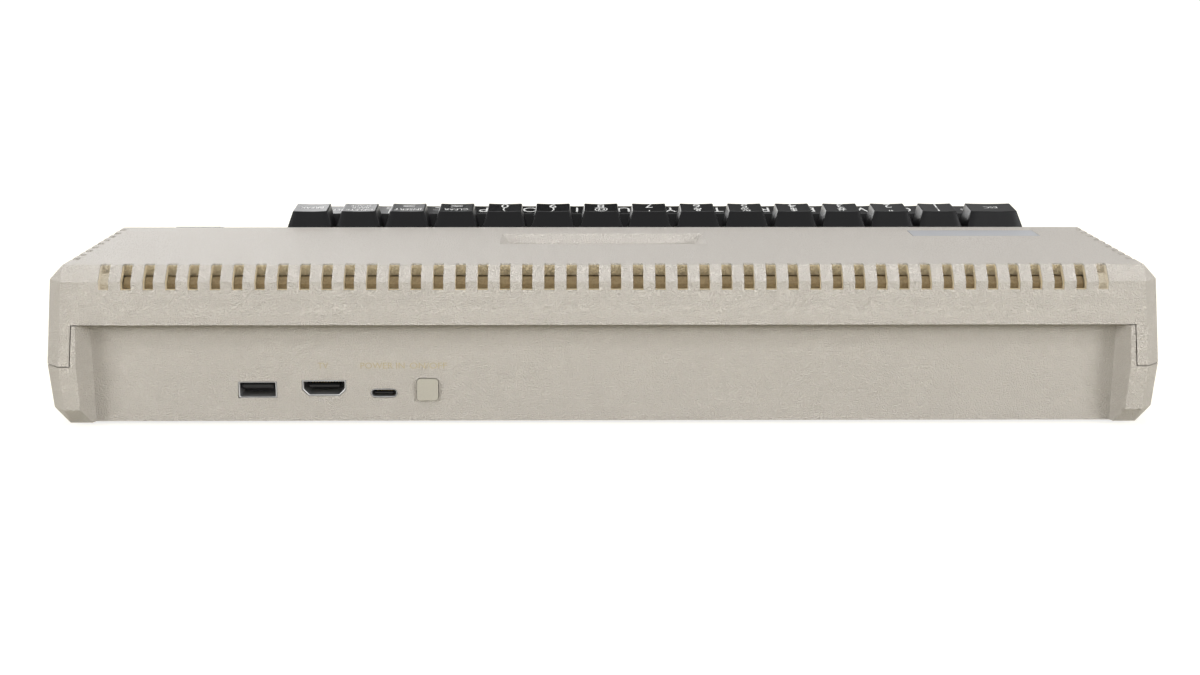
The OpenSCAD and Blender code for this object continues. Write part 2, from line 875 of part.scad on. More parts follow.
// Places of the posts that hold the keyboard to the bezel
function frame_posts() =
    concat([for (r = [0.3, 2, 3.7]) for (x = [post_left, kb_right + 3.9]) [x, key_y(r)]],
           [for (k = [1, 7.5, 14]) [kb_left + k * pitch, frame_front + 4]]);

// Posts between the keys that hold the back plate
function plate_posts() =
    concat([for (k = [1, 6, 11]) [kb_left + (1 + k) * pitch, key_y(0.5)]],
           [for (k = [1, 6, 10]) [kb_left + (2.25 + k) * pitch, key_y(2.5)]]);

window_step = key_y(3) - (pitch - cap_gap) / 2 - window_gap;
bar_x = key_x(4, 0);
bar_half = (row_units[4][0] * pitch - cap_gap) / 2 + window_gap;

module keyboard_bezel() {
    color(DARK)
        on_bezel()
            difference() {
                union() {
                    span([-bezel_x + lay_gap, bezel_front + lay_gap, -bezel_t],
                         [bezel_x - lay_gap, pocket_rear - lay_gap, 0]);
                    for (p = frame_posts())
                        translate([p[0], p[1], frame_top])
                            cylinder(r = post_r, h = -frame_top - eps);
                    for (p = console_posts)
                        translate([p[0], p[1], console_board_top])
                            cylinder(r = 2.4, h = -console_board_top - eps);
                }
                span([window_left, window_step, -20], [window_right, 20, 20]);
                span([bar_x - bar_half, window_front, -20], [bar_x + bar_half, 20, 20]);
                for (i = [0 : console_rows - 1])
                    console_window(i);
                translate([console_x, led_y, -20])
                    cylinder(r = led_r + 0.1, h = 40);
                for (p = frame_posts())
                    translate([p[0], p[1], frame_top - 1])
                        cylinder(r = thread_r + screw_gap, h = 1 - frame_top - bezel_t);
                for (p = console_posts)
                    translate([p[0], p[1], console_board_top - 1])
                        cylinder(r = thread_r + screw_gap, h = 7);
            }
}

module console_window(i) {
    translate([console_x, key_y(i), 0])
        span([-console_w / 2 - button_gap, -console_d / 2 - button_gap, -20],
             [console_w / 2 + button_gap, console_d / 2 + button_gap, 20]);
}

module keyboard_frame() {
    color(DARK)
        on_bezel()
            difference() {
                union() {
                    span([frame_left, frame_front, frame_low],
                         [frame_right, frame_rear, frame_top]);
                    difference() {
                        frame_box(0, membrane_low, frame_top);
                        frame_box(frame_wall, membrane_low - 1, frame_low + eps);
                    }
                    for (p = stems)
                        translate([p[0], p[1], frame_low])
                            cylinder(r = guide_r, h = guide_top - frame_low);
                    for (p = plate_posts())
                        translate([p[0], p[1], membrane_low])
                            cylinder(r = plate_post_r, h = frame_low - membrane_low + eps);
                }
                for (p = stems)
                    translate([p[0], p[1], frame_low - 1])
                        cylinder(r = stem_r + stem_gap, h = guide_top - frame_low + 2);
                for (p = frame_posts())
                    translate([p[0], p[1], frame_low - 1])
                        cylinder(r = thread_r + 0.3, h = frame_t + 2);
                for (p = plate_posts())
                    translate([p[0], p[1], membrane_low - 1])
                        cylinder(r = thread_r + screw_gap, h = 6);
            }
}

// Footprint of the box under the keyboard frame, drawn in by inset
module frame_box(inset, low_z, high_z) {
    span([kb_left - wall_out + inset, kb_front - wall_out + inset, low_z],
         [kb_right + wall_out - inset, frame_rear - inset, high_z]);
}

module sheet(low_z, thick) {
    difference() {
        frame_box(frame_wall + lay_gap, low_z, low_z + thick);
        for (p = plate_posts())
            translate([p[0], p[1], low_z - 1])
                cylinder(r = plate_post_r + lay_gap, h = thick + 2);
    }
}

module rubber_dome_sheet() {
    color(RUBBER)
        on_bezel() {
            sheet(dome_low, dome_sheet_t);
            for (p = stems)
                translate([p[0], p[1], dome_low + dome_sheet_t - eps])
                    cylinder(r1 = 4.6, r2 = 3.2, h = dome_h + eps);
        }
}

module membrane_sheet() {
    color([0.85, 0.85, 0.80])
        on_bezel()
            sheet(membrane_low, membrane_t);
}

module keyboard_back_plate() {
    color(STEEL)
        on_bezel()
            difference() {
                frame_box(0, back_plate_low, membrane_low);
                for (p = plate_posts())
                    translate([p[0], p[1], back_plate_low - 1])
                        cylinder(r = thread_r + 0.2, h = back_plate_t + 2);
            }
}

// Screw with its head down: the head's upper face at z = 0
module screw(r, length, wide_r, head) {
    translate([0, 0, -eps])
        cylinder(r = r, h = length + eps);
    translate([0, 0, -head])
        cylinder(r = wide_r, h = head);
}

module keyboard_screws() {
    color(STEEL)
        on_bezel() {
            for (p = frame_posts())
                translate([p[0], p[1], frame_low])
                    screw(thread_r, frame_t + 3, 2, 1.4);
            for (p = plate_posts())
                translate([p[0], p[1], back_plate_low])
                    screw(thread_r, back_plate_t + 4, 2, 1.4);
            for (p = console_posts)
                translate([p[0], p[1], console_board_top - board_t])
                    screw(thread_r, board_t + 5, 2, 1.4);
        }
}

// ------------------------------------------------------------ console keys

console_board_left = console_x - console_w / 2 - 8;
console_board_right = bezel_x - ledge - 0.8;
console_posts = [[console_board_left + 3, key_y(0.5)], [console_board_left + 3, key_y(3.5)],
                 [console_x + 6.5, key_y(4) - 12.2]];

module console_key(i) {
    color(STEEL)
        on_bezel()
            translate([console_x, key_y(i), 0]) {
                difference() {
                    span([-console_w / 2, -console_d / 2, console_low],
                         [console_w / 2, console_d / 2, console_h]);
                    console_slope();
                }
                span([-console_w / 2 - console_flange, -console_d / 2 - console_flange,
                      console_low],
                     [console_w / 2 + console_flange, console_d / 2 + console_flange,
                      console_low + console_flange_t]);
                translate([0, 0, console_push])
                    cylinder(r = 3, h = console_low - console_push + eps);
            }
}

// Cuts the front half of a console key down to a ramp
module console_slope() {
    beyond([0, 0, console_h], [0, -0.22, 1], 0);
}

module console_board() {
    color(BOARD)
        on_bezel()
            difference() {
                span([console_board_left, led_y - 7, console_board_top - board_t],
                     [console_board_right, -row1_y + 6, console_board_top]);
                for (p = console_posts)
                    translate([p[0], p[1], console_board_top - board_t - 1])
                        cylinder(r = thread_r + 0.2, h = board_t + 2);
            }
}

module console_switches() {
    color(DARK)
        on_bezel()
            for (i = [0 : console_rows - 1])
                translate([console_x, key_y(i), console_board_top]) {
                    span([-3, -3, 0], [3, 3, switch_top - console_board_top - 0.5]);
                    cylinder(r = 1.7, h = switch_top - console_board_top);
                }
}

module power_led() {
    flange_z = -bezel_t - 1.2;
    color([0.75, 0.08, 0.06])
        on_bezel()
            translate([console_x, led_y, 0]) {
                translate([0, 0, console_board_top])
                    cylinder(r = led_r, h = -console_board_top);
                translate([0, 0, flange_z])
                    cylinder(r = led_r + 0.5, h = 1);
                intersection() {
                    translate([0, 0, -led_r + 0.9])
                        sphere(r = led_r);
                    cylinder(r = led_r, h = led_r);
                }
            }
}

// ------------------------------------------------------------ boards, ports

hdmi_w = 15.4;
hdmi_h = 5.7;
hdmi_z = 0.6;
hdmi_cut = 2.3;
usb_w = 13.5;
usb_h = 5.8;
usb_shell = 0.5;
usb_c_w = 9.3;
usb_c_h = 3.2;
mouth_depth = 9;
button_z = board_top + 3.05;
chip_x = (board_left + board_right) / 2;
chip_y = (board_front + board_rear) / 2 - 2;
side_mouth_x = half_w - low * (seam_z - board_top - usb_h / 2) - 0.6;
side_board_left = side_board_x - side_board_w;
side_plug = [side_board_left + 5.5, controller_y];
main_plug = [board_right - 9, board_front + 26];
plug_h = 3;
ribbon_x = chip_x;
ribbon_w = 30;
ribbon_t = 0.4;

function board_posts() = concat(
    [for (x = [board_left + 4, board_right - 4]) for (y = [board_front + 4, board_rear - 4])
        [x, y]],
    [for (y = [-1, 1]) [side_board_left + 4, controller_y + y * (side_board_l / 2 - 4)]]);

module board_holes() {
    for (p = board_posts())
        translate([p[0], p[1], 0])
            cylinder(r = thread_r + 0.3, h = deck_z);
}

module main_board() {
    color(BOARD)
        difference() {
            span([board_left, board_front, board_low], [board_right, board_rear, board_top]);
            board_holes();
        }
}

module controller_board() {
    color(BOARD)
        difference() {
            span([side_board_left, controller_y - side_board_l / 2, board_low],
                 [side_board_x, controller_y + side_board_l / 2, board_top]);
            board_holes();
        }
}

module board_chips() {
    color(DARK) {
        span([chip_x - 8, chip_y - 8, board_top], [chip_x + 8, chip_y + 8, board_top + 1.6]);
        for (s = [-1, 1])
            span([chip_x + s * 20 - 5, chip_y - 18, board_top],
                 [chip_x + s * 20 + 5, chip_y - 8, board_top + 1.2]);
        // Sockets of the two ribbon cables
        span([ribbon_x - ribbon_w / 2 - 2, board_front + 4, board_top],
             [ribbon_x + ribbon_w / 2 + 2, board_front + 8, board_top + plug_h]);
        for (p = [main_plug, side_plug])
            span([p[0] - 4, p[1] - 4, board_top], [p[0] + 4, p[1] + 4, board_top + plug_h]);
    }
}

// Finned plate that cools the processor
module heat_spreader() {
    side = 36;
    base = 2;
    fins = 9;
    color(STEEL)
        translate([chip_x, chip_y, board_top + 1.6]) {
            span([-side / 2, -side / 2 + 10, 0], [side / 2, side / 2, base]);
            for (i = [0 : fins - 1])
                span([-side / 2 + i * (side - 1) / (fins - 1), -side / 2 + 10, base - eps],
                     [-side / 2 + i * (side - 1) / (fins - 1) + 1, side / 2, base + 6]);
        }
}

// USB-A socket standing on z = 0, its mouth at y = 0
module usb_a() {
    difference() {
        span([-usb_w / 2, -port_depth, 0], [usb_w / 2, 0, usb_h]);
        span([-usb_w / 2 + usb_shell, -mouth_depth, usb_shell * 0.7],
             [usb_w / 2 - usb_shell, 1, usb_h - usb_shell * 0.7]);
    }
    span([-5.6, -mouth_depth - eps, usb_h - 2.8], [5.6, -1, usb_h - 1]);
}

module usb_a_socket() {
    color(STEEL)
        translate([usb_a_x, panel_y - 0.2, board_top])
            usb_a();
}

module controller_sockets() {
    color(STEEL)
        for (s = [-0.5, 0.5])
            translate([side_mouth_x, controller_y + s * controller_pitch, board_top])
                rotate([0, 0, -90])
                    usb_a();
}

module hdmi_socket() {
    color(STEEL)
        translate([hdmi_x, panel_y - 0.2, board_top])
            rotate([90, 0, 0]) {
                difference() {
                    linear_extrude(height = port_depth)
                        hdmi_outline(0);
                    translate([0, 0, -1])
                        linear_extrude(height = mouth_depth + 1)
                            hdmi_outline(-0.6);
                }
                translate([0, 0, port_depth - 4])
                    linear_extrude(height = 4)
                        span_2d([-5, 0], [5, hdmi_z + eps]);
                translate([0, 0, 0.8])
                    linear_extrude(height = mouth_depth)
                        span_2d([-5.4, 3.4], [5.4, 4.6]);
            }
}

module span_2d(a, b) {
    translate(a)
        square(b - a);
}

module usb_c_socket() {
    color(STEEL)
        translate([usb_c_x, panel_y - 0.2, board_top + usb_c_h / 2])
            rotate([90, 0, 0]) {
                difference() {
                    linear_extrude(height = 8)
                        stadium(usb_c_w, usb_c_h);
                    translate([0, 0, -1])
                        linear_extrude(height = 7)
                            stadium(usb_c_w - 0.8, usb_c_h - 0.8);
                }
                translate([0, 0, 0.6])
                    linear_extrude(height = 6)
                        square([6.6, 0.7], center = true);
            }
}

module power_button() {
    flange = button_flange;
    color(CASE)
        translate([button_x, panel_in_y - button_gap, button_z])
            rotate([-90, 0, 0]) {
                linear_extrude(height = wall + button_gap + button_proud)
                    rounded(button_w, button_h, 1.2);
                translate([0, 0, -flange])
                    linear_extrude(height = flange)
                        rounded(button_w + 2, button_h + 2, 1.8);
                translate([0, 0, -flange - 1.5])
                    cylinder(r = 2, h = 1.5 + eps);
            }
}

module power_switch() {
    face_y = panel_in_y - button_gap - button_flange - 1.5 - button_travel - 0.2;
    body = 7;
    color(DARK) {
        span([button_x - body / 2, face_y - 0.6 - body, board_top],
             [button_x + body / 2, face_y - 0.6, board_top + body - 0.5]);
        translate([button_x, face_y, button_z])
            rotate([90, 0, 0])
                cylinder(r = 1.6, h = 1);
    }
}

// Point of the bezel's own plane in the case: [y, z]
function case_point(y, z) =
    [crease_y + y * cos(kb_slope) - (z - bezel_drop) * sin(kb_slope),
     deck_z + y * sin(kb_slope) + (z - bezel_drop) * cos(kb_slope)];

module ribbon_cables() {
    tail = case_point(frame_rear, back_plate_low + back_plate_t / 2);
    end = [board_front + 6, board_top + plug_h];
    path = [tail, tail + [3, -4], end + [0, 9], end];
    thick = [ribbon_t, ribbon_t / 4];
    half = 3.5;
    color(STEEL) {
        translate([ribbon_x - ribbon_w / 2, 0, 0])
            rotate([90, 0, 90])
                linear_extrude(height = ribbon_w)
                    polygon(concat(path, [for (i = [3 : -1 : 0]) path[i] + thick]));
        translate([0, 0, board_top + plug_h])
            linear_extrude(height = ribbon_t)
                polygon([side_plug - [half, half], side_plug + [half, -half],
                         [side_plug[0] + half, main_plug[1] + half],
                         main_plug + [-half, half], main_plug - [half, half],
                         [side_plug[0] - half, main_plug[1] - half]]);
    }
}

module board_screws() {
    color(STEEL)
        for (p = board_posts())
            translate([p[0], p[1], board_top])
                mirror([0, 0, 1])
                    screw(thread_r, board_t + 3.4, 2, 1.4);
}

module case_screws() {
    color(STEEL)
        for (p = case_bosses)
            translate([p[0], p[1], head_z])
                screw(screw_r, boss_top - head_z + screw_bite, head_r, head_h);
}

module rubber_feet() {
    color(RUBBER)
        for (p = feet)
            translate([p[0], p[1], 0])
                cylinder(r = foot_r, h = base_z + foot_recess);
}

// ---------------------------------------------------------------- the part

top_shell();
bottom_shell();
keyboard_bezel();
badge_plate();
vent_baffles();
cartridge_door();
door_pin();
keyboard_frame();
rubber_dome_sheet();
membrane_sheet();
keyboard_back_plate();
keyboard_screws();
console_board();
console_switches();
power_led();
main_board();
board_chips();
heat_spreader();
usb_a_socket();
hdmi_socket();
usb_c_socket();
power_switch();
power_button();
controller_board();
controller_sockets();
ribbon_cables();
board_screws();
case_screws();
rubber_feet();
key(0, 0);  // key_escape
key(0, 1);  // key_1
key(0, 2);  // key_2
key(0, 3);  // key_3
key(0, 4);  // key_4
key(0, 5);  // key_5
key(0, 6);  // key_6
key(0, 7);  // key_7
key(0, 8);  // key_8
key(0, 9);  // key_9
key(0, 10);  // key_0
key(0, 11);  // key_clear
key(0, 12);  // key_insert
key(0, 13);  // key_delete
key(0, 14);  // key_break
key(1, 0);  // key_tab
key_run(1, 1, 12);  // letter_keys_row_2
key(1, 13);  // key_return
key(2, 0);  // key_control
key_run(2, 1, 12);  // letter_keys_row_3
key(2, 13);  // key_caps
key(3, 0);  // key_shift_left
key_run(3, 1, 10);  // letter_keys_row_4
key(3, 11);  // key_shift_right
key(3, 12);  // key_inverse
key(4, 0);  // space_bar
console_key(0);  // console_reset
console_key(1);  // console_option
console_key(2);  // console_select
console_key(3);  // console_start
console_key(4);  // console_help
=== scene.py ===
"""Vintage home computer: vented two-part case, full keyboard and rear sockets.

Sizes are in millimetres and become metres where a mesh or a place is made.
X points to the user's right, Y to the rear and Z up.
"""
import math

import bmesh
import bpy
from mathutils import Matrix, Vector


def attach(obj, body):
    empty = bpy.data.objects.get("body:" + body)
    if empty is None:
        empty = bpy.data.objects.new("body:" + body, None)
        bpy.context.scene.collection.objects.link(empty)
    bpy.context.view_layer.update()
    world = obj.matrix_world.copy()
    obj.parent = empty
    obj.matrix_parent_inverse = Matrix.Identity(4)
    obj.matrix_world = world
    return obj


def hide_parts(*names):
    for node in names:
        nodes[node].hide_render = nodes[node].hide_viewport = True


MM = 0.001
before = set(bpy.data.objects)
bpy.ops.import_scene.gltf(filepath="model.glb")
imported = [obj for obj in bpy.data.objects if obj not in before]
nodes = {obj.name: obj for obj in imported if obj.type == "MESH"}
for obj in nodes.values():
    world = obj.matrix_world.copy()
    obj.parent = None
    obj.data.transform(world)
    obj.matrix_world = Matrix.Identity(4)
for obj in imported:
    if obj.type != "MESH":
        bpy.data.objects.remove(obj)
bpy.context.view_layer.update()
collection = bpy.context.scene.collection

# ---------------------------------------------------------------- sizes, mm

# The deck's height, the crease at its front edge, the rear panel's face, and the
# rear edge of the deck with the bevel behind it
DECK_Z = 57.487
CREASE_Y = 24.954
PANEL_Y = 103.204
RIDGE_Y = 104.204
BEVEL_W = 4.7
BEVEL_H = 5.0

# Rear vent slots, whose inner walls are painted lighter and warmer as painted bounce light: the
# skin that keeps the case's colour, how low and how far to the front the slots reach, and where
# the blind end slots begin and end to each side
SLOT_SKIN = 0.6
SLOT_SLANT_SKIN = 0.9
SLOT_LOW = 45.0
SLOT_FRONT = 80.0
SLOT_END = 168.0
SLOT_EDGE = 174.0

# Keyboard bezel: its slope, its depth under the deck and half its width
KEYBOARD_SLOPE = math.radians(11.3)
BEZEL_DROP = 1.8
BEZEL_X = 178.006

# Typing keys. Heights count from the bezel's top, and a key of 1 unit is one pitch wide
PITCH = 19.05
KEYBOARD_LEFT = 11.65 - BEZEL_X
ROW_1_Y = 10.5
CAP_GAP = 0.95
CAP_DEPTH = PITCH - CAP_GAP
CAP_TOP_W = 13.25
CAP_TOP_D = 11.5
CAP_SETBACK = 2.6
CAP_REAR_H = 8.3
CAP_RISE = 3.55
CAP_DISH = 0.2
DISH_RIM = 0.3
CAP_EDGE = 0.22
CAP_WALL = 1.5
CAP_CEILING = 5.0
SKIRT_Z = -2.0
LOW_ROUND = 0.5
HIGH_ROUND = 0.55
INSET_ROUND = 0.45
ROOF_SETBACK = 2.25
ROOF_FRONT = -6.1
ROOF_REAR = 6.5
STEM_R = 2.8
STEM_TOP = CAP_CEILING + 0.2
STEM_END = -9.1
STEM_FOOT_R = 3.3
STEM_FOOT_TOP = -8.3
STEM_SIDES = 32
LONG_KEY = 4
OUTER_STEMS = 3 * PITCH

# Marks on the keys: how far they stand off, the longest edge that follows the dish
# uncut, and the height and place of each kind
INK_LIFT = 0.03
MARK_EDGE = 1.2
SIGN = (4.3, 3.7)
MARK = (5.0, -1.75)
LETTER = (6.3, 0.7)
WORD_PLACE = 0.7

# Console keys
CONSOLE_X = 158.206
CONSOLE_H = 2.2
CONSOLE_RAMP = 0.22
CONSOLE_WORD_H = 1.7
CONSOLE_WORD_Y = -1.2

# Sockets, which stand on the main board or look out of the right side
BOARD_TOP = 9.9
MOUTH_INSET = 0.2
USB_A_X = 121.55
HDMI_X = 98.3
USB_C_X = 77.35
USB_C_RISE = 1.6
SIDE_MOUTH_X = 191.93
CONTROLLER_YS = (-5.0, -35.0)
RIM_DEPTH = 0.15
RIM_CURVE = 0.03
CONTACT_T = 0.06

# Raised words on the rear panel
WORD_Z = 21.5
WORD_H = 2.1
WORD_RELIEF = 0.12
WORD_SINK = 0.02

# ---------------------------------------------------------------- node groups


def new_group(name, inputs, outputs):
    """An empty shader node group with its sockets, and the nodes at its two ends."""
    group = bpy.data.node_groups.new(name, "ShaderNodeTree")
    for label, kind, value in inputs:
        socket = group.interface.new_socket(label, in_out="INPUT", socket_type=kind)
        if value is not None:
            socket.default_value = value
    for label, kind in outputs:
        group.interface.new_socket(label, in_out="OUTPUT", socket_type=kind)
    return group, group.nodes.new("NodeGroupInput"), group.nodes.new("NodeGroupOutput")


def add(tree, kind, links=None, **values):
    """A node with its properties and unlinked sockets set, and its linked ones linked."""
    node = tree.nodes.new(kind)
    for key, value in values.items():
        if hasattr(node, key):
            setattr(node, key, value)
        else:
            node.inputs[key.replace("_", " ")].default_value = value
    for key, source in (links or {}).items():
        tree.links.new(source, node.inputs[key])
    return node


def sum_of(tree, first, second, factor):
    """first + second * factor, as one Math node's output."""
    node = add(tree, "ShaderNodeMath", {0: second, 2: first}, operation="MULTIPLY_ADD")
    node.inputs[1].default_value = factor
    return node.outputs[0]


def make_leather_grain():
    """Leather grain of moulded plastic: rounded hills parted by narrow wandering creases."""
    group, start, end = new_group(
        "leather_grain",
        [("Hills per m", "NodeSocketFloat", 900.0), ("Waviness", "NodeSocketFloat", 0.35)],
        [("Height", "NodeSocketFloat"), ("Tint", "NodeSocketFloat")])
    place = add(group, "ShaderNodeTexCoord")
    hills = add(group, "ShaderNodeTexNoise",
                {"Vector": place.outputs["Object"], "Scale": start.outputs["Hills per m"],
                 "Distortion": start.outputs["Waviness"]},
                Detail=1.0, Roughness=0.55)
    flattened = add(group, "ShaderNodeMapRange", {"Value": hills.outputs["Fac"]},
                    interpolation_type="SMOOTHSTEP", From_Min=0.36, From_Max=0.6)
    pores = add(group, "ShaderNodeTexNoise",
                {"Vector": place.outputs["Object"], "Scale": start.outputs["Hills per m"]},
                Detail=4.0, Roughness=0.75)
    pore_share = 0.7
    height = sum_of(group, flattened.outputs[0], pores.outputs["Fac"], pore_share)
    group.links.new(height, end.inputs["Height"])
    group.links.new(flattened.outputs[0], end.inputs["Tint"])
    return group


def make_tone_mottle():
    """Slow change of tone over a large surface, between two colours."""
    group, start, end = new_group(
        "tone_mottle",
        [("Color A", "NodeSocketColor", None), ("Color B", "NodeSocketColor", None),
         ("Scale", "NodeSocketFloat", 12.0), ("Mask", "NodeSocketFloat", 0.5)],
        [("Color", "NodeSocketColor")])
    place = add(group, "ShaderNodeTexCoord")
    slow = add(group, "ShaderNodeTexNoise",
               {"Vector": place.outputs["Object"], "Scale": start.outputs["Scale"]},
               Detail=2.0)
    both = add(group, "ShaderNodeMath",
               {0: slow.outputs["Fac"], 1: start.outputs["Mask"]}, operation="ADD")
    spread = add(group, "ShaderNodeMapRange", {"Value": both.outputs[0]},
                 From_Min=0.5, From_Max=1.5)
    mix = add(group, "ShaderNodeMix",
              {0: spread.outputs["Result"], 6: start.outputs["Color A"],
               7: start.outputs["Color B"]}, data_type="RGBA")
    group.links.new(mix.outputs[2], end.inputs["Color"])
    return group


def make_brushed_lines():
    """Long fine scratches along one direction, as a height."""
    group, start, end = new_group(
        "brushed_lines",
        [("Stretch", "NodeSocketVector", (20.0, 900.0, 900.0))],
        [("Height", "NodeSocketFloat")])
    place = add(group, "ShaderNodeTexCoord")
    long_way = add(group, "ShaderNodeVectorMath",
                   {0: place.outputs["Object"], 1: start.outputs["Stretch"]},
                   operation="MULTIPLY")
    lines = add(group, "ShaderNodeTexNoise", {"Vector": long_way.outputs[0]},
                Scale=3.0, Detail=4.0)
    group.links.new(lines.outputs["Fac"], end.inputs["Height"])
    return group


def make_slot_mask():
    """Mask: 1 inside the rear vent slots, under the case's outer skin, where painted bounce
    light goes. End: 1 past SLOT_END.
    """
    group, start, end = new_group(
        "slot_mask", [], [("Mask", "NodeSocketFloat"), ("End", "NodeSocketFloat")])
    place = add(group, "ShaderNodeTexCoord")
    split = add(group, "ShaderNodeSeparateXYZ", {0: place.outputs["Object"]})
    half_width = add(group, "ShaderNodeMath", {0: split.outputs["X"]}, operation="ABSOLUTE")
    fall = BEVEL_H / BEVEL_W
    on_bevel = sum_of(group, split.outputs["Z"], split.outputs["Y"], fall)
    mask = None
    for source, operation, limit in (
            (split.outputs["Z"], "LESS_THAN", DECK_Z - SLOT_SKIN),
            (split.outputs["Z"], "GREATER_THAN", SLOT_LOW),
            (split.outputs["Y"], "LESS_THAN", RIDGE_Y + BEVEL_W - SLOT_SKIN),
            (on_bevel, "LESS_THAN", DECK_Z + RIDGE_Y * fall - SLOT_SLANT_SKIN),
            (split.outputs["Y"], "GREATER_THAN", SLOT_FRONT),
            (half_width.outputs[0], "LESS_THAN", SLOT_EDGE)):
        test = add(group, "ShaderNodeMath", {0: source}, operation=operation)
        test.inputs[1].default_value = limit * MM
        if mask is None:
            mask = test
        else:
            mask = add(group, "ShaderNodeMath", {0: mask.outputs[0], 1: test.outputs[0]},
                       operation="MULTIPLY")
    group.links.new(mask.outputs[0], end.inputs["Mask"])
    past = add(group, "ShaderNodeMath", {0: half_width.outputs[0]}, operation="GREATER_THAN")
    past.inputs[1].default_value = SLOT_END * MM
    group.links.new(past.outputs[0], end.inputs["End"])
    return group


LEATHER_GRAIN = make_leather_grain()
TONE_MOTTLE = make_tone_mottle()
BRUSHED_LINES = make_brushed_lines()
SLOT_MASK = make_slot_mask()

# ---------------------------------------------------------------- materials

METAL_MOTTLE = 40.0
SCRATCH_DEPTH = 0.02


def shade(level):
    """A display colour, 0 to 255 each, as a linear colour."""
    return [(v / 255 / 12.92) if v <= 10 else ((v / 255 + 0.055) / 1.055) ** 2.4
            for v in level] + [1.0]


def plain_material(name, **sockets):
    """A Principled material; underscores in socket names stand for spaces."""
    material = bpy.data.materials.new(name)
    material.use_nodes = True
    shader = material.node_tree.nodes["Principled BSDF"]
    for key, value in sockets.items():
        shader.inputs[key.replace("_", " ")].default_value = value
    return material, material.node_tree, shader


def group_node(tree, group, **values):
    """A placed node group; underscores in its socket names stand for spaces."""
    node = tree.nodes.new("ShaderNodeGroup")
    node.node_tree = group
    for key, value in values.items():
        node.inputs[key.replace("_", " ")].default_value = value
    return node


def dress(tree, shader, tones, scale, mask, height, depth):
    """Mottled colour and bump on a shader. Gives back the colour's socket."""
    light, dark = tones
    tone = group_node(tree, TONE_MOTTLE, Color_A=shade(dark), Color_B=shade(light),
                      Scale=scale)
    bump = add(tree, "ShaderNodeBump", {"Height": height})
    bump.inputs["Distance"].default_value = depth * MM
    tree.links.new(mask, tone.inputs["Mask"])
    tree.links.new(tone.outputs["Color"], shader.inputs["Base Color"])
    tree.links.new(bump.outputs["Normal"], shader.inputs["Normal"])
    return tone.outputs["Color"]


def moulded(name, light, dark, roughness, hill, depth, specular=0.5, scale=12.0, slots=None):
    """Moulded plastic with a leather grain of that hill size and depth, in mm.

    slots: painted bounce light, the lighter and warmer colours inside the open vent slots and
    inside the blind ones.
    """
    material, tree, shader = plain_material(
        name, Roughness=roughness, Specular_IOR_Level=specular)
    grain = group_node(tree, LEATHER_GRAIN, Hills_per_m=1000.0 / hill)
    colour = dress(tree, shader, (light, dark), scale, grain.outputs["Tint"],
                   grain.outputs["Height"], depth)
    if slots:
        # Painted bounce light: the walls inside the vent slots take a lighter, warmer colour
        # than the case
        masks = group_node(tree, SLOT_MASK)
        slot_light_colour = add(tree, "ShaderNodeMix", {0: masks.outputs["End"]}, data_type="RGBA")
        slot_light_colour.inputs[6].default_value = shade(slots[0])
        slot_light_colour.inputs[7].default_value = shade(slots[1])
        mix = add(tree, "ShaderNodeMix",
                  {0: masks.outputs["Mask"], 6: colour, 7: slot_light_colour.outputs[2]},
                  data_type="RGBA")
        tree.links.new(mix.outputs[2], shader.inputs["Base Color"])
    return material


def brushed(name, light, dark, roughness, stretch):
    """Brushed or drawn metal. The scratches run along the axis of the lowest stretch."""
    material, tree, shader = plain_material(name, Roughness=roughness, Metallic=1.0)
    lines = group_node(tree, BRUSHED_LINES, Stretch=stretch)
    dress(tree, shader, (light, dark), METAL_MOTTLE, lines.outputs["Height"],
          lines.outputs["Height"], SCRATCH_DEPTH)
    return material


# Light tone, dark tone, roughness, grain size and depth, specular level, mottle scale
CASE = moulded("case_plastic", (206, 200, 192), (201, 195, 187), 0.6, 0.48, 0.39, 0.6)
# Painted bounce light inside the top shell's vent slots: lighter, warmer walls, lightest in the
# blind end slots
CASE_SLOT_LIGHT = moulded("case_plastic_slot_light", (206, 200, 192), (201, 195, 187), 0.6, 0.48, 0.39, 0.6,
                  slots=((240, 225, 192), (246, 236, 216)))
DOOR = moulded("door_plastic", (187, 182, 171), (183, 178, 167), 0.6, 0.6, 0.1, 0.3)
# Painted shade: the raised words are case plastic, and their darker, warmer tan stands in for
# the thin shadows round the letters
WORDS_SHADE = moulded("word_painted_shade", (190, 178, 150), (186, 174, 146), 0.6, 0.5, 0.01, 0.3)
BUTTON = moulded("button_plastic", (172, 168, 157), (169, 165, 154), 0.5, 0.5, 0.01, 0.4)
KEYS = moulded("key_plastic", (9, 9, 10), (7, 7, 8), 0.28, 0.3, 0.003, 0.2, 40.0)
LEGEND = moulded("legend_ink", (222, 222, 220), (214, 214, 212), 0.5, 0.3, 0.004)
DARK_INK = moulded("dark_ink", (52, 50, 48), (44, 42, 40), 0.5, 0.3, 0.004)
BEZEL = moulded("bezel_plastic", (58, 52, 47), (50, 45, 40), 0.55, 0.7, 0.05, 0.4)
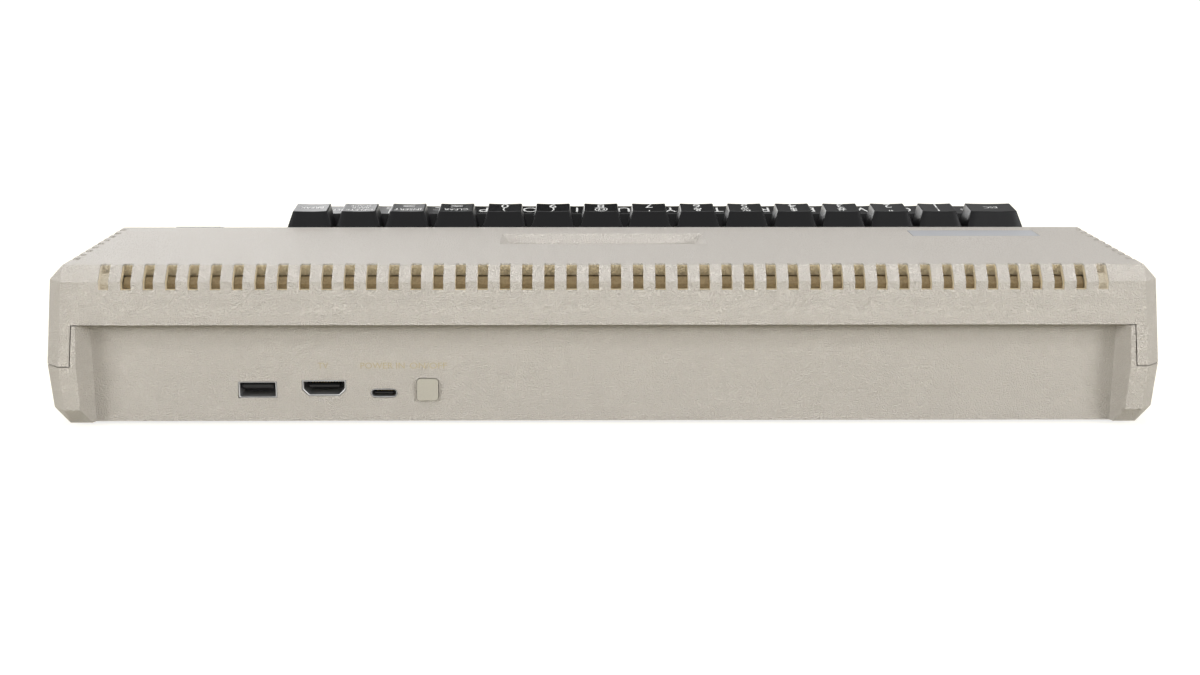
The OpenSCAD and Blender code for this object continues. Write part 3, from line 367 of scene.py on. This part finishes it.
# Painted shade: the baffle behind the slots is case plastic, and its brown stands in for that
# plastic in deep shade
BAFFLE_SHADE = moulded("baffle_plastic", (160, 143, 112), (148, 131, 102), 0.8, 0.9, 0.06, 0.2)
INNER = moulded("inner_plastic", (18, 18, 18), (14, 14, 14), 0.6, 0.6, 0.03, 0.15)
FOOT = moulded("foot_rubber", (48, 48, 48), (40, 40, 40), 0.85, 0.5, 0.04, 0.2)
DOME = moulded("dome_rubber", (124, 126, 130), (112, 114, 118), 0.6, 0.5, 0.02, 0.3)
FILM = moulded("membrane_film", (226, 228, 222), (212, 215, 208), 0.3, 3.0, 0.004, 0.5)
BOARD = moulded("circuit_board", (34, 96, 58), (26, 78, 47), 0.35, 2.2, 0.02, 0.5, 160.0)
CHIP = moulded("chip_plastic", (40, 40, 42), (32, 32, 34), 0.5, 0.4, 0.012, 0.4)
RIBBON = moulded("ribbon_plastic", (214, 212, 204), (200, 198, 190), 0.4, 1.2, 0.008, 0.5)
LAMP = moulded("led_plastic", (190, 26, 18), (168, 20, 14), 0.12, 4.0, 0.003, 0.6)
TONGUE = moulded("socket_plastic", (20, 20, 21), (14, 14, 15), 0.5, 0.4, 0.01, 0.3)

# Light tone, dark tone, roughness, and how tight the scratches lie along X, Y and Z
CONSOLE = brushed("console_metal", (146, 146, 143), (134, 134, 131), 0.45, (900, 25, 900))
BADGE = brushed("badge_metal", (187, 188, 190), (171, 172, 175), 0.5, (20, 900, 900))
SOCKET = brushed("socket_metal", (176, 176, 176), (158, 158, 158), 0.5, (200, 200, 200))
STEEL = brushed("plain_steel", (190, 191, 194), (164, 166, 170), 0.4, (120, 120, 120))
FINS = brushed("heat_spreader_metal", (214, 216, 218), (196, 198, 200), 0.4, (40, 900, 900))
CONTACT = brushed("contact_gold", (226, 190, 120), (206, 168, 96), 0.3, (300, 300, 300))

# ---------------------------------------------------------------- helpers

FLAT_ANGLE = math.radians(1)
EDGE_ANGLE = math.radians(28)


def new_piece(name, mesh, body, place):
    """An object of that mesh at a place, which moves with a body."""
    piece = bpy.data.objects.new(name, mesh)
    collection.objects.link(piece)
    piece.matrix_world = place
    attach(piece, body)
    return piece


def finished_mesh(name, shape, *materials, smooth=40):
    """The mesh of a bmesh shape, shaded smooth but for edges sharper than that angle."""
    bmesh.ops.recalc_face_normals(shape, faces=shape.faces)
    mesh = bpy.data.meshes.new(name)
    shape.to_mesh(mesh)
    shape.free()
    for material in materials:
        mesh.materials.append(material)
    mesh.shade_smooth()
    mesh.set_sharp_from_angle(angle=math.radians(smooth))
    return mesh


def paint(names, material):
    """Gives CAD nodes a finish."""
    for name in names:
        mesh = nodes[name].data
        mesh.materials.clear()
        mesh.materials.append(material)


def soften_edges(name, width, segments=2):
    """Modifiers that merge a CAD node's flat facets and round its edges, width in mm."""
    node = nodes[name]
    flat = node.modifiers.new("merge_flat", "DECIMATE")
    flat.decimate_type = "DISSOLVE"
    flat.angle_limit = FLAT_ANGLE
    rounding = node.modifiers.new("round_edges", "BEVEL")
    rounding.width = width * MM
    rounding.segments = segments
    rounding.limit_method = "ANGLE"
    rounding.angle_limit = EDGE_ANGLE
    rounding.harden_normals = True
    node.data.shade_smooth()


def skin(shape, rings):
    """Quads between point rings of equal count, and a face over each end, the last one last."""
    made = [[shape.verts.new(Vector(p) * MM) for p in ring] for ring in rings]
    count = len(made[0])
    faces = []
    for a, b in zip(made, made[1:]):
        for k in range(count):
            faces.append(shape.faces.new((a[k], a[(k + 1) % count],
                                          b[(k + 1) % count], b[k])))
    faces.append(shape.faces.new(made[0][::-1]))
    faces.append(shape.faces.new(made[-1]))
    return faces


def rounded_polygon(corners, radius, steps=4):
    """Points round a convex polygon, anticlockwise, with rounded corners."""
    points = []
    count = len(corners)
    for i in range(count):
        here = Vector(corners[i])
        before = (Vector(corners[i - 1]) - here).normalized()
        after = (Vector(corners[(i + 1) % count]) - here).normalized()
        half = before.angle(after) / 2
        middle = here + (before + after).normalized() * radius / math.sin(half)
        first = here + before * radius / math.tan(half) - middle
        turn = math.pi - 2 * half
        for k in range(steps + 1):
            a = turn * k / steps
            points.append((middle.x + first.x * math.cos(a) - first.y * math.sin(a),
                           middle.y + first.x * math.sin(a) + first.y * math.cos(a)))
    return points


def letter_mesh(text, extrude=0.0):
    """A mesh of the text in the built-in font at size 1."""
    curve = bpy.data.curves.new("letters", "FONT")
    curve.body = text
    curve.align_x = "CENTER"
    curve.resolution_u = 4
    curve.extrude = extrude
    holder = bpy.data.objects.new("letters", curve)
    collection.objects.link(holder)
    letters = bpy.data.meshes.new_from_object(
        holder.evaluated_get(bpy.context.evaluated_depsgraph_get()))
    bpy.data.objects.remove(holder)
    bpy.data.curves.remove(curve)
    return letters


# Height of a capital letter of the built-in font at size 1, and the share of its own
# width that a mark keeps where none is given
CAPITAL = max(v.co.y for v in letter_mesh("H").vertices)
NARROWING = 0.9


def lettering(shape, text, width, height, y=0.0, relief=0.0):
    """Adds words to a bmesh, in mm: capitals of that height, scaled to that width if given."""
    some_thickness = 0.1
    letters = letter_mesh(text, some_thickness if relief else 0.0)
    xs = [v.co.x for v in letters.vertices]
    tall = height / CAPITAL
    wide = width / (max(xs) - min(xs)) if width else tall * NARROWING
    middle = (max(xs) + min(xs)) / 2
    for v in letters.vertices:
        v.co = Vector(((v.co.x - middle) * wide, y + (v.co.y - CAPITAL / 2) * tall,
                       relief if v.co.z > 0 else 0.0))
    shape.from_mesh(letters)
    bpy.data.meshes.remove(letters)


TILT = Matrix.Rotation(KEYBOARD_SLOPE, 4, "X")


def bezel_place(x, y):
    """Where a point of the keyboard bezel's top lies, without the bezel's tilt."""
    tilted = TILT @ Vector((x, y, -BEZEL_DROP))
    return Matrix.Translation((tilted + Vector((0, CREASE_Y, DECK_Z))) * MM)


def printed_mesh(name, shape, ink):
    """The mesh of flat marks on a tilted key, in that ink."""
    mesh = bpy.data.meshes.new(name)
    shape.to_mesh(mesh)
    shape.free()
    mesh.transform(TILT)
    mesh.materials.append(ink)
    return mesh


# ---------------------------------------------------------------- keys


def rounded_loop(half_w, front, rear, radius, steps_x=8, steps_y=4, corner=4):
    """Points round a rectangle with rounded corners, all loops matching in number."""
    points = []
    centres = [(half_w - radius, front + radius, -90), (half_w - radius, rear - radius, 0),
               (radius - half_w, rear - radius, 90), (radius - half_w, front + radius, 180)]
    for i, (cx, cy, start) in enumerate(centres):
        for k in range(corner + 1):
            a = math.radians(start + 90 * k / corner)
            points.append((cx + radius * math.cos(a), cy + radius * math.sin(a)))
        last = points[-1]
        nx, ny, nstart = centres[(i + 1) % 4]
        a = math.radians(nstart)
        nxt = (nx + radius * math.cos(a), ny + radius * math.sin(a))
        steps = steps_y if i % 2 == 0 else steps_x
        for k in range(1, steps):
            t = k / steps
            points.append((last[0] + t * (nxt[0] - last[0]), last[1] + t * (nxt[1] - last[1])))
    return points


TOP_REAR = CAP_DEPTH / 2 - CAP_SETBACK
TOP_FRONT = TOP_REAR - CAP_TOP_D
TOP_MID = (TOP_FRONT + TOP_REAR) / 2

# Where the loops of a key cap lie: shares of the way up its side, round its top edge,
# and of the top's size
SIDE_LOOPS = (0.05, 0.5, 0.93, 0.97)
EDGE_LOOPS = (0.25, 0.5, 0.75, 1.0)
TOP_LOOPS = (0.96, 0.8, 0.55, 0.3, 0.1)


def top_shape(units):
    """Half the width of a key top of that many units, and the depth of its trough."""
    half_top = (units * PITCH - CAP_GAP - CAP_DEPTH + CAP_TOP_W) / 2
    return half_top, CAP_DISH if units < LONG_KEY else 0.0


def top_height(x, y, half_top, dish):
    """Height of a key top at a point: its tilted plane less the trough."""
    plane = CAP_REAR_H + CAP_RISE * (TOP_REAR - y) / CAP_TOP_D
    inside = max(0.0, 1 - (x / (half_top - DISH_RIM)) ** 2)
    return plane - dish * inside


def key_mesh(units):
    """A hollow key cap with rounded edges, a dished top and its stem."""
    half = (units * PITCH - CAP_GAP) / 2
    half_top, dish = top_shape(units)
    low = rounded_loop(half, -CAP_DEPTH / 2, CAP_DEPTH / 2, LOW_ROUND)
    high = rounded_loop(half_top, TOP_FRONT, TOP_REAR, HIGH_ROUND)
    inset = rounded_loop(half_top - CAP_EDGE, TOP_FRONT + CAP_EDGE, TOP_REAR - CAP_EDGE,
                         INSET_ROUND)
    loops = [[(x, y, SKIRT_Z) for x, y in low], [(x, y, 0.0) for x, y in low]]
    edge = [(x, y, top_height(x, y, half_top, dish)) for x, y in high]
    for t in SIDE_LOOPS:
        loops.append([tuple(a + t * (b - a) for a, b in zip((lx, ly, 0.0), e))
                      for (lx, ly), e in zip(low, edge)])
    below = loops[-1]
    above = [(x, y, top_height(x, y, half_top, dish)) for x, y in inset]
    for t in EDGE_LOOPS:
        loops.append([tuple((1 - t) ** 2 * a + 2 * t * (1 - t) * e + t * t * c
                            for a, e, c in zip(p, q, r))
                      for p, q, r in zip(below, edge, above)])
    for t in TOP_LOOPS:
        loops.append([(x * t, TOP_MID + (y - TOP_MID) * t,
                       top_height(x * t, TOP_MID + (y - TOP_MID) * t, half_top, dish))
                      for x, y in inset])
    inner = rounded_loop(half - CAP_WALL, CAP_WALL - CAP_DEPTH / 2, CAP_DEPTH / 2 - CAP_WALL,
                         LOW_ROUND)
    roof = rounded_loop(half - ROOF_SETBACK, ROOF_FRONT, ROOF_REAR, LOW_ROUND)
    hollow = [[(x, y, CAP_CEILING) for x, y in roof], [(x, y, SKIRT_Z) for x, y in inner]]
    shape = bmesh.new()
    skin(shape, hollow + loops)
    for dx in (-OUTER_STEMS, 0, OUTER_STEMS) if units > LONG_KEY else (0,):
        for radius, top in ((STEM_R, STEM_TOP), (STEM_FOOT_R, STEM_FOOT_TOP)):
            bmesh.ops.create_cone(
                shape, cap_ends=True, segments=STEM_SIDES, radius1=radius * MM,
                radius2=radius * MM, depth=(top - STEM_END) * MM,
                matrix=Matrix.Translation((dx * MM, 0, (top + STEM_END) / 2 * MM)))
    mesh = finished_mesh("key_%gu" % units, shape, KEYS)
    mesh.transform(TILT)
    return mesh


def legend_mesh(name, lines, units):
    """Marks printed on a key top: (text, width or None, height, y) each, in mm."""
    half_top, dish = top_shape(units)
    shape = bmesh.new()
    for text, width, height, y in lines:
        lettering(shape, text, width, height, y=y)
    bmesh.ops.subdivide_edges(
        shape, edges=[e for e in shape.edges if e.calc_length() > MARK_EDGE], cuts=1)
    for vert in shape.verts:
        x, y, _ = vert.co
        z = top_height(x, y, half_top, dish) + INK_LIFT
        vert.co = Vector((x, y, z)) * MM
    return printed_mesh(name, shape, LEGEND)


def pair(sign, mark):
    """A sign over a digit or another sign."""
    return [(sign, None, *SIGN), (mark, None, *MARK)]


def letter(mark):
    """One large letter."""
    return [(mark, None, *LETTER)]


def word(text, width, height=2.3):
    """One word across the key."""
    return [(text, width, height, WORD_PLACE)]


# The rows from the rear to the front: CAD node, width in units and marks of each key
ROWS = [
    [("key_escape", 1.25, word("ESC", 5.3))]
    + [("key_%s" % mark, 1, pair(sign, mark))
       for mark, sign in zip("1234567890", "!\"#$%&'@()")]
    + [("key_clear", 1, [("CLEAR", 9.5, 2.5, 3.3), ("<", 4.7, 4.6, -1.75)]),
       ("key_insert", 1, [("INSERT", 10.5, 2.5, 3.3), (">", 4.7, 4.6, -1.75)]),
       ("key_delete", 1, [("DELETE", 10.4, 1.9, 4.0), ("BACK", 6.9, 1.9, 1.0),
                          ("SPACE", 8.0, 1.9, -2.0)]),
       ("key_break", 1, word("BREAK", 9.1, 2.4))],
    [("key_tab", 1.75, word("TAB", 5.4))]
    + [("letter_keys_row_2", 1, letter(mark)) for mark in "QWERTYUIOP"]
    + [("letter_keys_row_2", 1, pair("_", "-")), ("letter_keys_row_2", 1, pair("|", "=")),
       ("key_return", 1.5, word("RETURN", 10.6))],
    [("key_control", 2, word("CONTROL", 12.2))]
    + [("letter_keys_row_3", 1, letter(mark)) for mark in "ASDFGHJKL"]
    + [("letter_keys_row_3", 1, pair(":", ";")), ("letter_keys_row_3", 1, pair("\\", "+")),
       ("letter_keys_row_3", 1, pair("^", "*")),
       ("key_caps", 1.25, word("CAPS", 7.4))],
    [("key_shift_left", 2.5, word("SHIFT", 8.6))]
    + [("letter_keys_row_4", 1, letter(mark)) for mark in "ZXCVBNM"]
    + [("letter_keys_row_4", 1, pair("[", ",")), ("letter_keys_row_4", 1, pair("]", ".")),
       ("letter_keys_row_4", 1, pair("?", "/")),
       ("key_shift_right", 1.75, word("SHIFT", 8.6)),
       ("key_inverse", 1, None)],
    [("space_bar", 9, None)],
]
ROW_STARTS = [0, 0, 0, 0, 3.375]  # units

cap_meshes = {}
for row, keys in enumerate(ROWS):
    reached = ROW_STARTS[row]
    for order, (node, units, lines) in enumerate(keys):
        x = KEYBOARD_LEFT + (reached + units / 2) * PITCH
        y = -ROW_1_Y - row * PITCH
        reached += units
        seat = bezel_place(x, y)
        if units not in cap_meshes:
            cap_meshes[units] = key_mesh(units)
        name = node if not node.startswith("letter") else "%s_%d" % (node, order)
        cap = new_piece("cap_" + name, cap_meshes[units], node, seat)
        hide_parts(node)
        if lines:
            new_piece("legend_" + name, legend_mesh(name, lines, units), node, seat)

# ---------------------------------------------------------------- CAD nodes' looks

for material, names in (
        (CASE_SLOT_LIGHT, ["top_shell"]),
        (CASE, ["bottom_shell"]),
        (DOOR, ["cartridge_door"]),
        (BUTTON, ["power_button"]),
        (BAFFLE_SHADE, ["vent_baffles"]),
        (BADGE, ["badge_plate"]),
        (BEZEL, ["keyboard_bezel"]),
        (INNER, ["keyboard_frame", "console_switches", "power_switch"]),
        (DOME, ["rubber_dome_sheet"]),
        (FILM, ["membrane_sheet"]),
        (STEEL, ["keyboard_back_plate", "keyboard_screws", "board_screws", "case_screws",
                 "door_pin"]),
        (BOARD, ["main_board", "controller_board", "console_board"]),
        (CHIP, ["board_chips"]),
        (FINS, ["heat_spreader"]),
        (RIBBON, ["ribbon_cables"]),
        (FOOT, ["rubber_feet"]),
        (LAMP, ["power_led"])):
    paint(names, material)

for name, width, segments in (
        ("top_shell", 0.35, 2),
        ("bottom_shell", 0.35, 2),
        ("power_button", 0.6, 4),
        ("badge_plate", 0.12, 2),
        ("keyboard_bezel", 0.25, 2),
        ("rubber_feet", 0.3, 2)):
    soften_edges(name, width, segments)

# ---------------------------------------------------------------- console keys

for order, text in enumerate(("RESET", "OPTION", "SELECT", "START", "HELP")):
    name = "console_" + text.lower()
    paint([name], CONSOLE)
    soften_edges(name, 0.3)
    shape = bmesh.new()
    lettering(shape, text, None, CONSOLE_WORD_H, y=CONSOLE_WORD_Y)
    for vert in shape.verts:
        z = CONSOLE_H + min(0.0, CONSOLE_RAMP * vert.co.y) + INK_LIFT
        vert.co = Vector((vert.co.x, vert.co.y, z)) * MM
    new_piece("print_" + name, printed_mesh("print_" + name, shape, DARK_INK), name,
              bezel_place(CONSOLE_X, -ROW_1_Y - order * PITCH))

# ---------------------------------------------------------------- sockets


def box_corners(low, high):
    """The corners of a rectangle, anticlockwise."""
    return [(low[0], low[1]), (high[0], low[1]), (high[0], high[1]), (low[0], high[1])]


def shell_mesh(name, outer, inner, radius, depth, mouth):
    """A stamped socket shell that opens towards +Y: outlines in X and Z, mouth at y = 0."""
    inner_share = 0.6
    big = rounded_polygon(outer, radius)
    small = rounded_polygon(inner, radius * inner_share)
    shape = bmesh.new()
    rings = [[(x, -depth, z) for x, z in big], [(x, -RIM_DEPTH, z) for x, z in big]]
    for t, y in ((0.25, -RIM_CURVE), (0.5, 0.0), (0.75, -RIM_CURVE)):
        rings.append([(p[0] + t * (q[0] - p[0]), y, p[1] + t * (q[1] - p[1]))
                      for p, q in zip(big, small)])
    rings += [[(x, -RIM_DEPTH, z) for x, z in small], [(x, -mouth, z) for x, z in small]]
    faces = skin(shape, rings)
    faces[-1].material_index = 1
    return finished_mesh(name, shape, SOCKET, TONGUE)


def tongue_mesh(name, low, high, depth, nose):
    """A plastic tongue along Y with chamfered front edges: low and high in X and Z."""
    radius = min(0.2, (high[1] - low[1]) / 3)
    chamfer, nose_w, nose_h = 0.5, 0.96, 0.5
    outline = rounded_polygon(box_corners(low, high), radius)
    cx = (low[0] + high[0]) / 2
    cz = (low[1] + high[1]) / 2
    shape = bmesh.new()
    skin(shape, [[(cx + (x - cx) * wide, y, cz + (z - cz) * tall) for x, z in outline]
                 for y, wide, tall in ((-depth, 1, 1), (nose - chamfer, 1, 1),
                                       (nose, nose_w, nose_h))])
    return finished_mesh(name, shape, TONGUE)


def contacts_mesh(name, count, pitch, width, y_low, y_high, faces_z):
    """Rows of thin gold contacts that lie on a tongue's faces at those heights."""
    radius, steps, tip = 0.03, 2, 0.1
    shape = bmesh.new()
    for z in faces_z:
        for i in range(count):
            x = (i - (count - 1) / 2) * pitch
            outline = rounded_polygon(
                box_corners((x - width / 2, z - CONTACT_T), (x + width / 2, z + CONTACT_T)),
                radius, steps)
            skin(shape, [[(px, y, pz) for px, pz in outline]
                         for y in (y_low, y_high - tip, y_high)])
    return finished_mesh(name, shape, CONTACT)


# Outlines in X and Z with the outer radius, how deep the shell and its hollow are, the
# tongue's low and high corner and the Y of its nose, and the contacts: their count,
# pitch, width, two ends along Y and the heights they lie at
USB_A = dict(
    outer=box_corners((-6.75, 0.0), (6.75, 5.8)), inner=box_corners((-6.25, 0.35), (6.25, 5.45)),
    radius=0.55, depth=14.0, mouth=9.0, tongue=((-5.6, 3.0), (5.6, 4.8)), nose=-1.0,
    contacts=(4, 2.4, 1.1, -8.0, -3.0, (3.0,)))
HDMI = dict(
    outer=[(-5.4, 0.6), (5.4, 0.6), (7.7, 2.9), (7.7, 6.3), (-7.7, 6.3), (-7.7, 2.9)],
    inner=[(-5.15, 1.1), (5.15, 1.1), (7.2, 3.15), (7.2, 5.8), (-7.2, 5.8), (-7.2, 3.15)],
    radius=0.5, depth=14.0, mouth=9.0, tongue=((-5.4, 3.4), (5.4, 4.6)), nose=-1.0,
    contacts=(10, 1.0, 0.5, -8.0, -4.0, (3.4, 4.6)))
USB_C = dict(
    outer=box_corners((-4.65, -1.6), (4.65, 1.6)), inner=box_corners((-4.25, -1.2), (4.25, 1.2)),
    radius=1.55, depth=8.0, mouth=6.0, tongue=((-3.3, -0.35), (3.3, 0.35)), nose=-0.7,
    contacts=(12, 0.5, 0.25, -5.4, -2.4, (-0.35, 0.35)))


def socket(name, node, form, place):
    """A socket of shell, tongue and contacts in place of a CAD node."""
    shell = shell_mesh(name + "_shell", form["outer"], form["inner"], form["radius"],
                       form["depth"], form["mouth"])
    tongue = tongue_mesh(name + "_tongue", *form["tongue"], form["mouth"], form["nose"])
    contacts = contacts_mesh(name + "_contacts", *form["contacts"])
    for label, mesh in (("_shell", shell), ("_tongue", tongue), ("_contacts", contacts)):
        piece = new_piece(name + label, mesh, "case", place)
        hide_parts(node)


def rear_place(x, z):
    """Where a rear socket's mouth is."""
    return Matrix.Translation(Vector((x, PANEL_Y - MOUTH_INSET, z)) * MM)


socket("usb_a", "usb_a_socket", USB_A, rear_place(USB_A_X, BOARD_TOP))
socket("hdmi", "hdmi_socket", HDMI, rear_place(HDMI_X, BOARD_TOP))
socket("usb_c", "usb_c_socket", USB_C, rear_place(USB_C_X, BOARD_TOP + USB_C_RISE))
for label, y in zip(("rear", "front"), CONTROLLER_YS):
    socket("controller_" + label, "controller_sockets", USB_A,
           Matrix.Translation(Vector((SIDE_MOUTH_X, y, BOARD_TOP)) * MM)
           @ Matrix.Rotation(-math.pi / 2, 4, "Z"))

# ---------------------------------------------------------------- rear words


def raised_words(name, text, centre_x, width):
    """Words that stand a little out of the rear panel, coloured darker and warmer than the case
    as painted shade.
    """
    shape = bmesh.new()
    lettering(shape, text, width, WORD_H, relief=WORD_RELIEF)
    turn = (Matrix.Translation(Vector((centre_x, PANEL_Y - WORD_SINK, WORD_Z)) * MM)
            @ Matrix.Rotation(math.pi, 4, "Z") @ Matrix.Rotation(math.pi / 2, 4, "X"))
    for vert in shape.verts:
        vert.co = vert.co * MM
    new_piece(name, finished_mesh(name, shape, WORDS_SHADE, smooth=30), "case", turn)


raised_words("word_tv", "TV", 98.4, 3.6)
raised_words("word_power_in", "POWER IN", 77.6, 15.4)
raised_words("word_on_off", "ON/OFF", 61.6, 12.9)

# ---------------------------------------------------------------- stage, in metres

CAMERA_AT = (0.00789, 0.66891, 0.16332)
CAMERA_YAW = -0.01107
CAMERA_PITCH = 0.22897
CAMERA_ROLL = 0.00127
FLOOR_HALF = 6
FLAG_LEFT = -3
FLAG_RIGHT = 0.19
FLAG_Y = -1.2
FLAG_TOP = 1.1
ROOM_LIGHT = 0.16


def look(position, yaw, pitch, roll):
    """Matrix of a camera that looks towards -Y, turned by yaw, pitch down and roll."""
    forward = Vector((math.sin(yaw) * math.cos(pitch), -math.cos(yaw) * math.cos(pitch),
                      -math.sin(pitch)))
    level = Vector((-math.cos(yaw), -math.sin(yaw), 0))
    rise = level.cross(forward)
    right = math.cos(roll) * level + math.sin(roll) * rise
    up = right.cross(forward)
    turn = Matrix((right, up, -forward)).transposed().to_4x4()
    return Matrix.Translation(position) @ turn


camera_data = bpy.data.cameras.new("camera")
camera_data.lens = 50
camera_data.sensor_width = 36
camera_data.clip_start = 0.01
camera = bpy.data.objects.new("camera", camera_data)
camera.matrix_world = look(CAMERA_AT, CAMERA_YAW, CAMERA_PITCH, CAMERA_ROLL)
collection.objects.link(camera)
bpy.context.scene.camera = camera


def sees_white(tree, dim, bright):
    """Bright for camera, glossy and transmission rays, and dim for the rest."""
    path = add(tree, "ShaderNodeLightPath")
    direct = add(tree, "ShaderNodeMath",
                 {0: path.outputs["Is Camera Ray"], 1: path.outputs["Is Glossy Ray"]},
                 operation="MAXIMUM")
    through = add(tree, "ShaderNodeMath",
                  {0: direct.outputs[0], 1: path.outputs["Is Transmission Ray"]},
                  operation="MAXIMUM")
    return add(tree, "ShaderNodeMapRange", {"Value": through.outputs[0]},
               To_Min=dim, To_Max=bright).outputs[0]


def stage_card(name, corners, material):
    """A flat card or floor of the studio."""
    mesh = bpy.data.meshes.new(name)
    mesh.from_pydata(corners, [], [(0, 1, 2, 3)])
    mesh.materials.append(material)
    card = bpy.data.objects.new(name, mesh)
    collection.objects.link(card)
    return card


paper, paper_tree, paper_shader = plain_material(
    "floor_paper", Base_Color=(0.4, 0.37, 0.27, 1), Roughness=1.0, Specular_IOR_Level=0.0)
place = add(paper_tree, "ShaderNodeTexCoord")
far = add(paper_tree, "ShaderNodeVectorMath", {0: place.outputs["Object"]}, operation="LENGTH")
fade = add(paper_tree, "ShaderNodeMapRange", {"Value": far.outputs["Value"]},
           From_Min=0.3, From_Max=0.9, To_Min=0.8, To_Max=1.0)
paper_glow = add(paper_tree, "ShaderNodeMath",
                 {0: sees_white(paper_tree, 0.0, 1.0), 1: fade.outputs[0]},
                 operation="MULTIPLY")
glow = add(paper_tree, "ShaderNodeEmission", {"Strength": paper_glow.outputs[0]})
lit_paper = add(paper_tree, "ShaderNodeAddShader", {0: paper_shader.outputs[0],
                                                    1: glow.outputs[0]})
paper_tree.links.new(lit_paper.outputs[0], paper_tree.nodes["Material Output"].inputs[0])
stage_card("floor", [(-FLOOR_HALF, -FLOOR_HALF, 0), (FLOOR_HALF, -FLOOR_HALF, 0),
                     (FLOOR_HALF, FLOOR_HALF, 0), (-FLOOR_HALF, FLOOR_HALF, 0)], paper)

# Painted reflection: a dark card that only glossy rays see, so the key tops reflect dark there
# instead of the white room
reflection_paint, felt_tree, felt_shader = plain_material(
    "reflection_paint", Base_Color=(0.02, 0.02, 0.02, 1), Roughness=1.0, Specular_IOR_Level=0.0,
    Emission_Color=(1, 1, 1, 1))
place = add(felt_tree, "ShaderNodeTexCoord")
across = add(felt_tree, "ShaderNodeSeparateXYZ", {0: place.outputs["Object"]})
# Painted reflection: the card glows, up to 0.4, on its part towards -X, which paints a dim sheen
# on the keys at that side
painted_reflection_glow = add(felt_tree, "ShaderNodeMapRange", {"Value": across.outputs["X"]},
                From_Min=-0.45, From_Max=0.0, To_Min=0.4, To_Max=0.0)
felt_tree.links.new(painted_reflection_glow.outputs[0], felt_shader.inputs["Emission Strength"])
flag = stage_card("reflection_card", [(FLAG_LEFT, FLAG_Y, 0), (FLAG_RIGHT, FLAG_Y, 0),
                                (FLAG_RIGHT, FLAG_Y, FLAG_TOP),
                                (FLAG_LEFT, FLAG_Y, FLAG_TOP)], reflection_paint)
flag.visible_camera = False
flag.visible_diffuse = False
flag.visible_shadow = False
flag.visible_transmission = False


def soft_lamp(name, size, power, position, target):
    """A rectangular lamp of that size and power in W, aimed at the target."""
    data = bpy.data.lights.new(name, "AREA")
    data.shape = "RECTANGLE"
    data.size, data.size_y = size
    data.energy = power
    lamp = bpy.data.objects.new(name, data)
    lamp.location = position
    lamp.rotation_euler = (Vector(target) - Vector(position)).to_track_quat("-Z", "Y").to_euler()
    collection.objects.link(lamp)


for lamp_setting in (
        ("front_lamp", (1.8, 0.42), 7, (0, 1.95, 0.6), (0, 0.1, 0.03)),
        ("left_side_lamp", (0.35, 0.35), 5.2, (1.0, 1.1, 1.3), (0, 0, 0.03)),
        ("right_side_lamp", (0.35, 0.35), 5.6, (-1.0, 1.1, 1.3), (0, 0, 0.03)),
        ("left_wide_lamp", (0.6, 0.5), 20.5, (1.6, 1.2, 0.6), (0, 0.05, 0.03)),
        ("right_wide_lamp", (0.6, 0.5), 23, (-1.6, 1.2, 0.6), (0, 0.05, 0.03)),
        ("top_lamp", (1.2, 1.2), 19, (0, -0.5, 1.9), (0, 0, 0.05)),
        ("back_lamp", (1.4, 0.8), 10.5, (0.95, -1.5, 0.42), (0.1, 0, 0.06))):
    soft_lamp(*lamp_setting)

world = bpy.data.worlds.new("white_room")
bpy.context.scene.world = world
world.use_nodes = True
room = world.node_tree.nodes["Background"]
room.inputs["Color"].default_value = (1, 1, 1, 1)
world.node_tree.links.new(sees_white(world.node_tree, ROOM_LIGHT, 1.0), room.inputs["Strength"])

bpy.context.scene.view_settings.view_transform = "Standard"
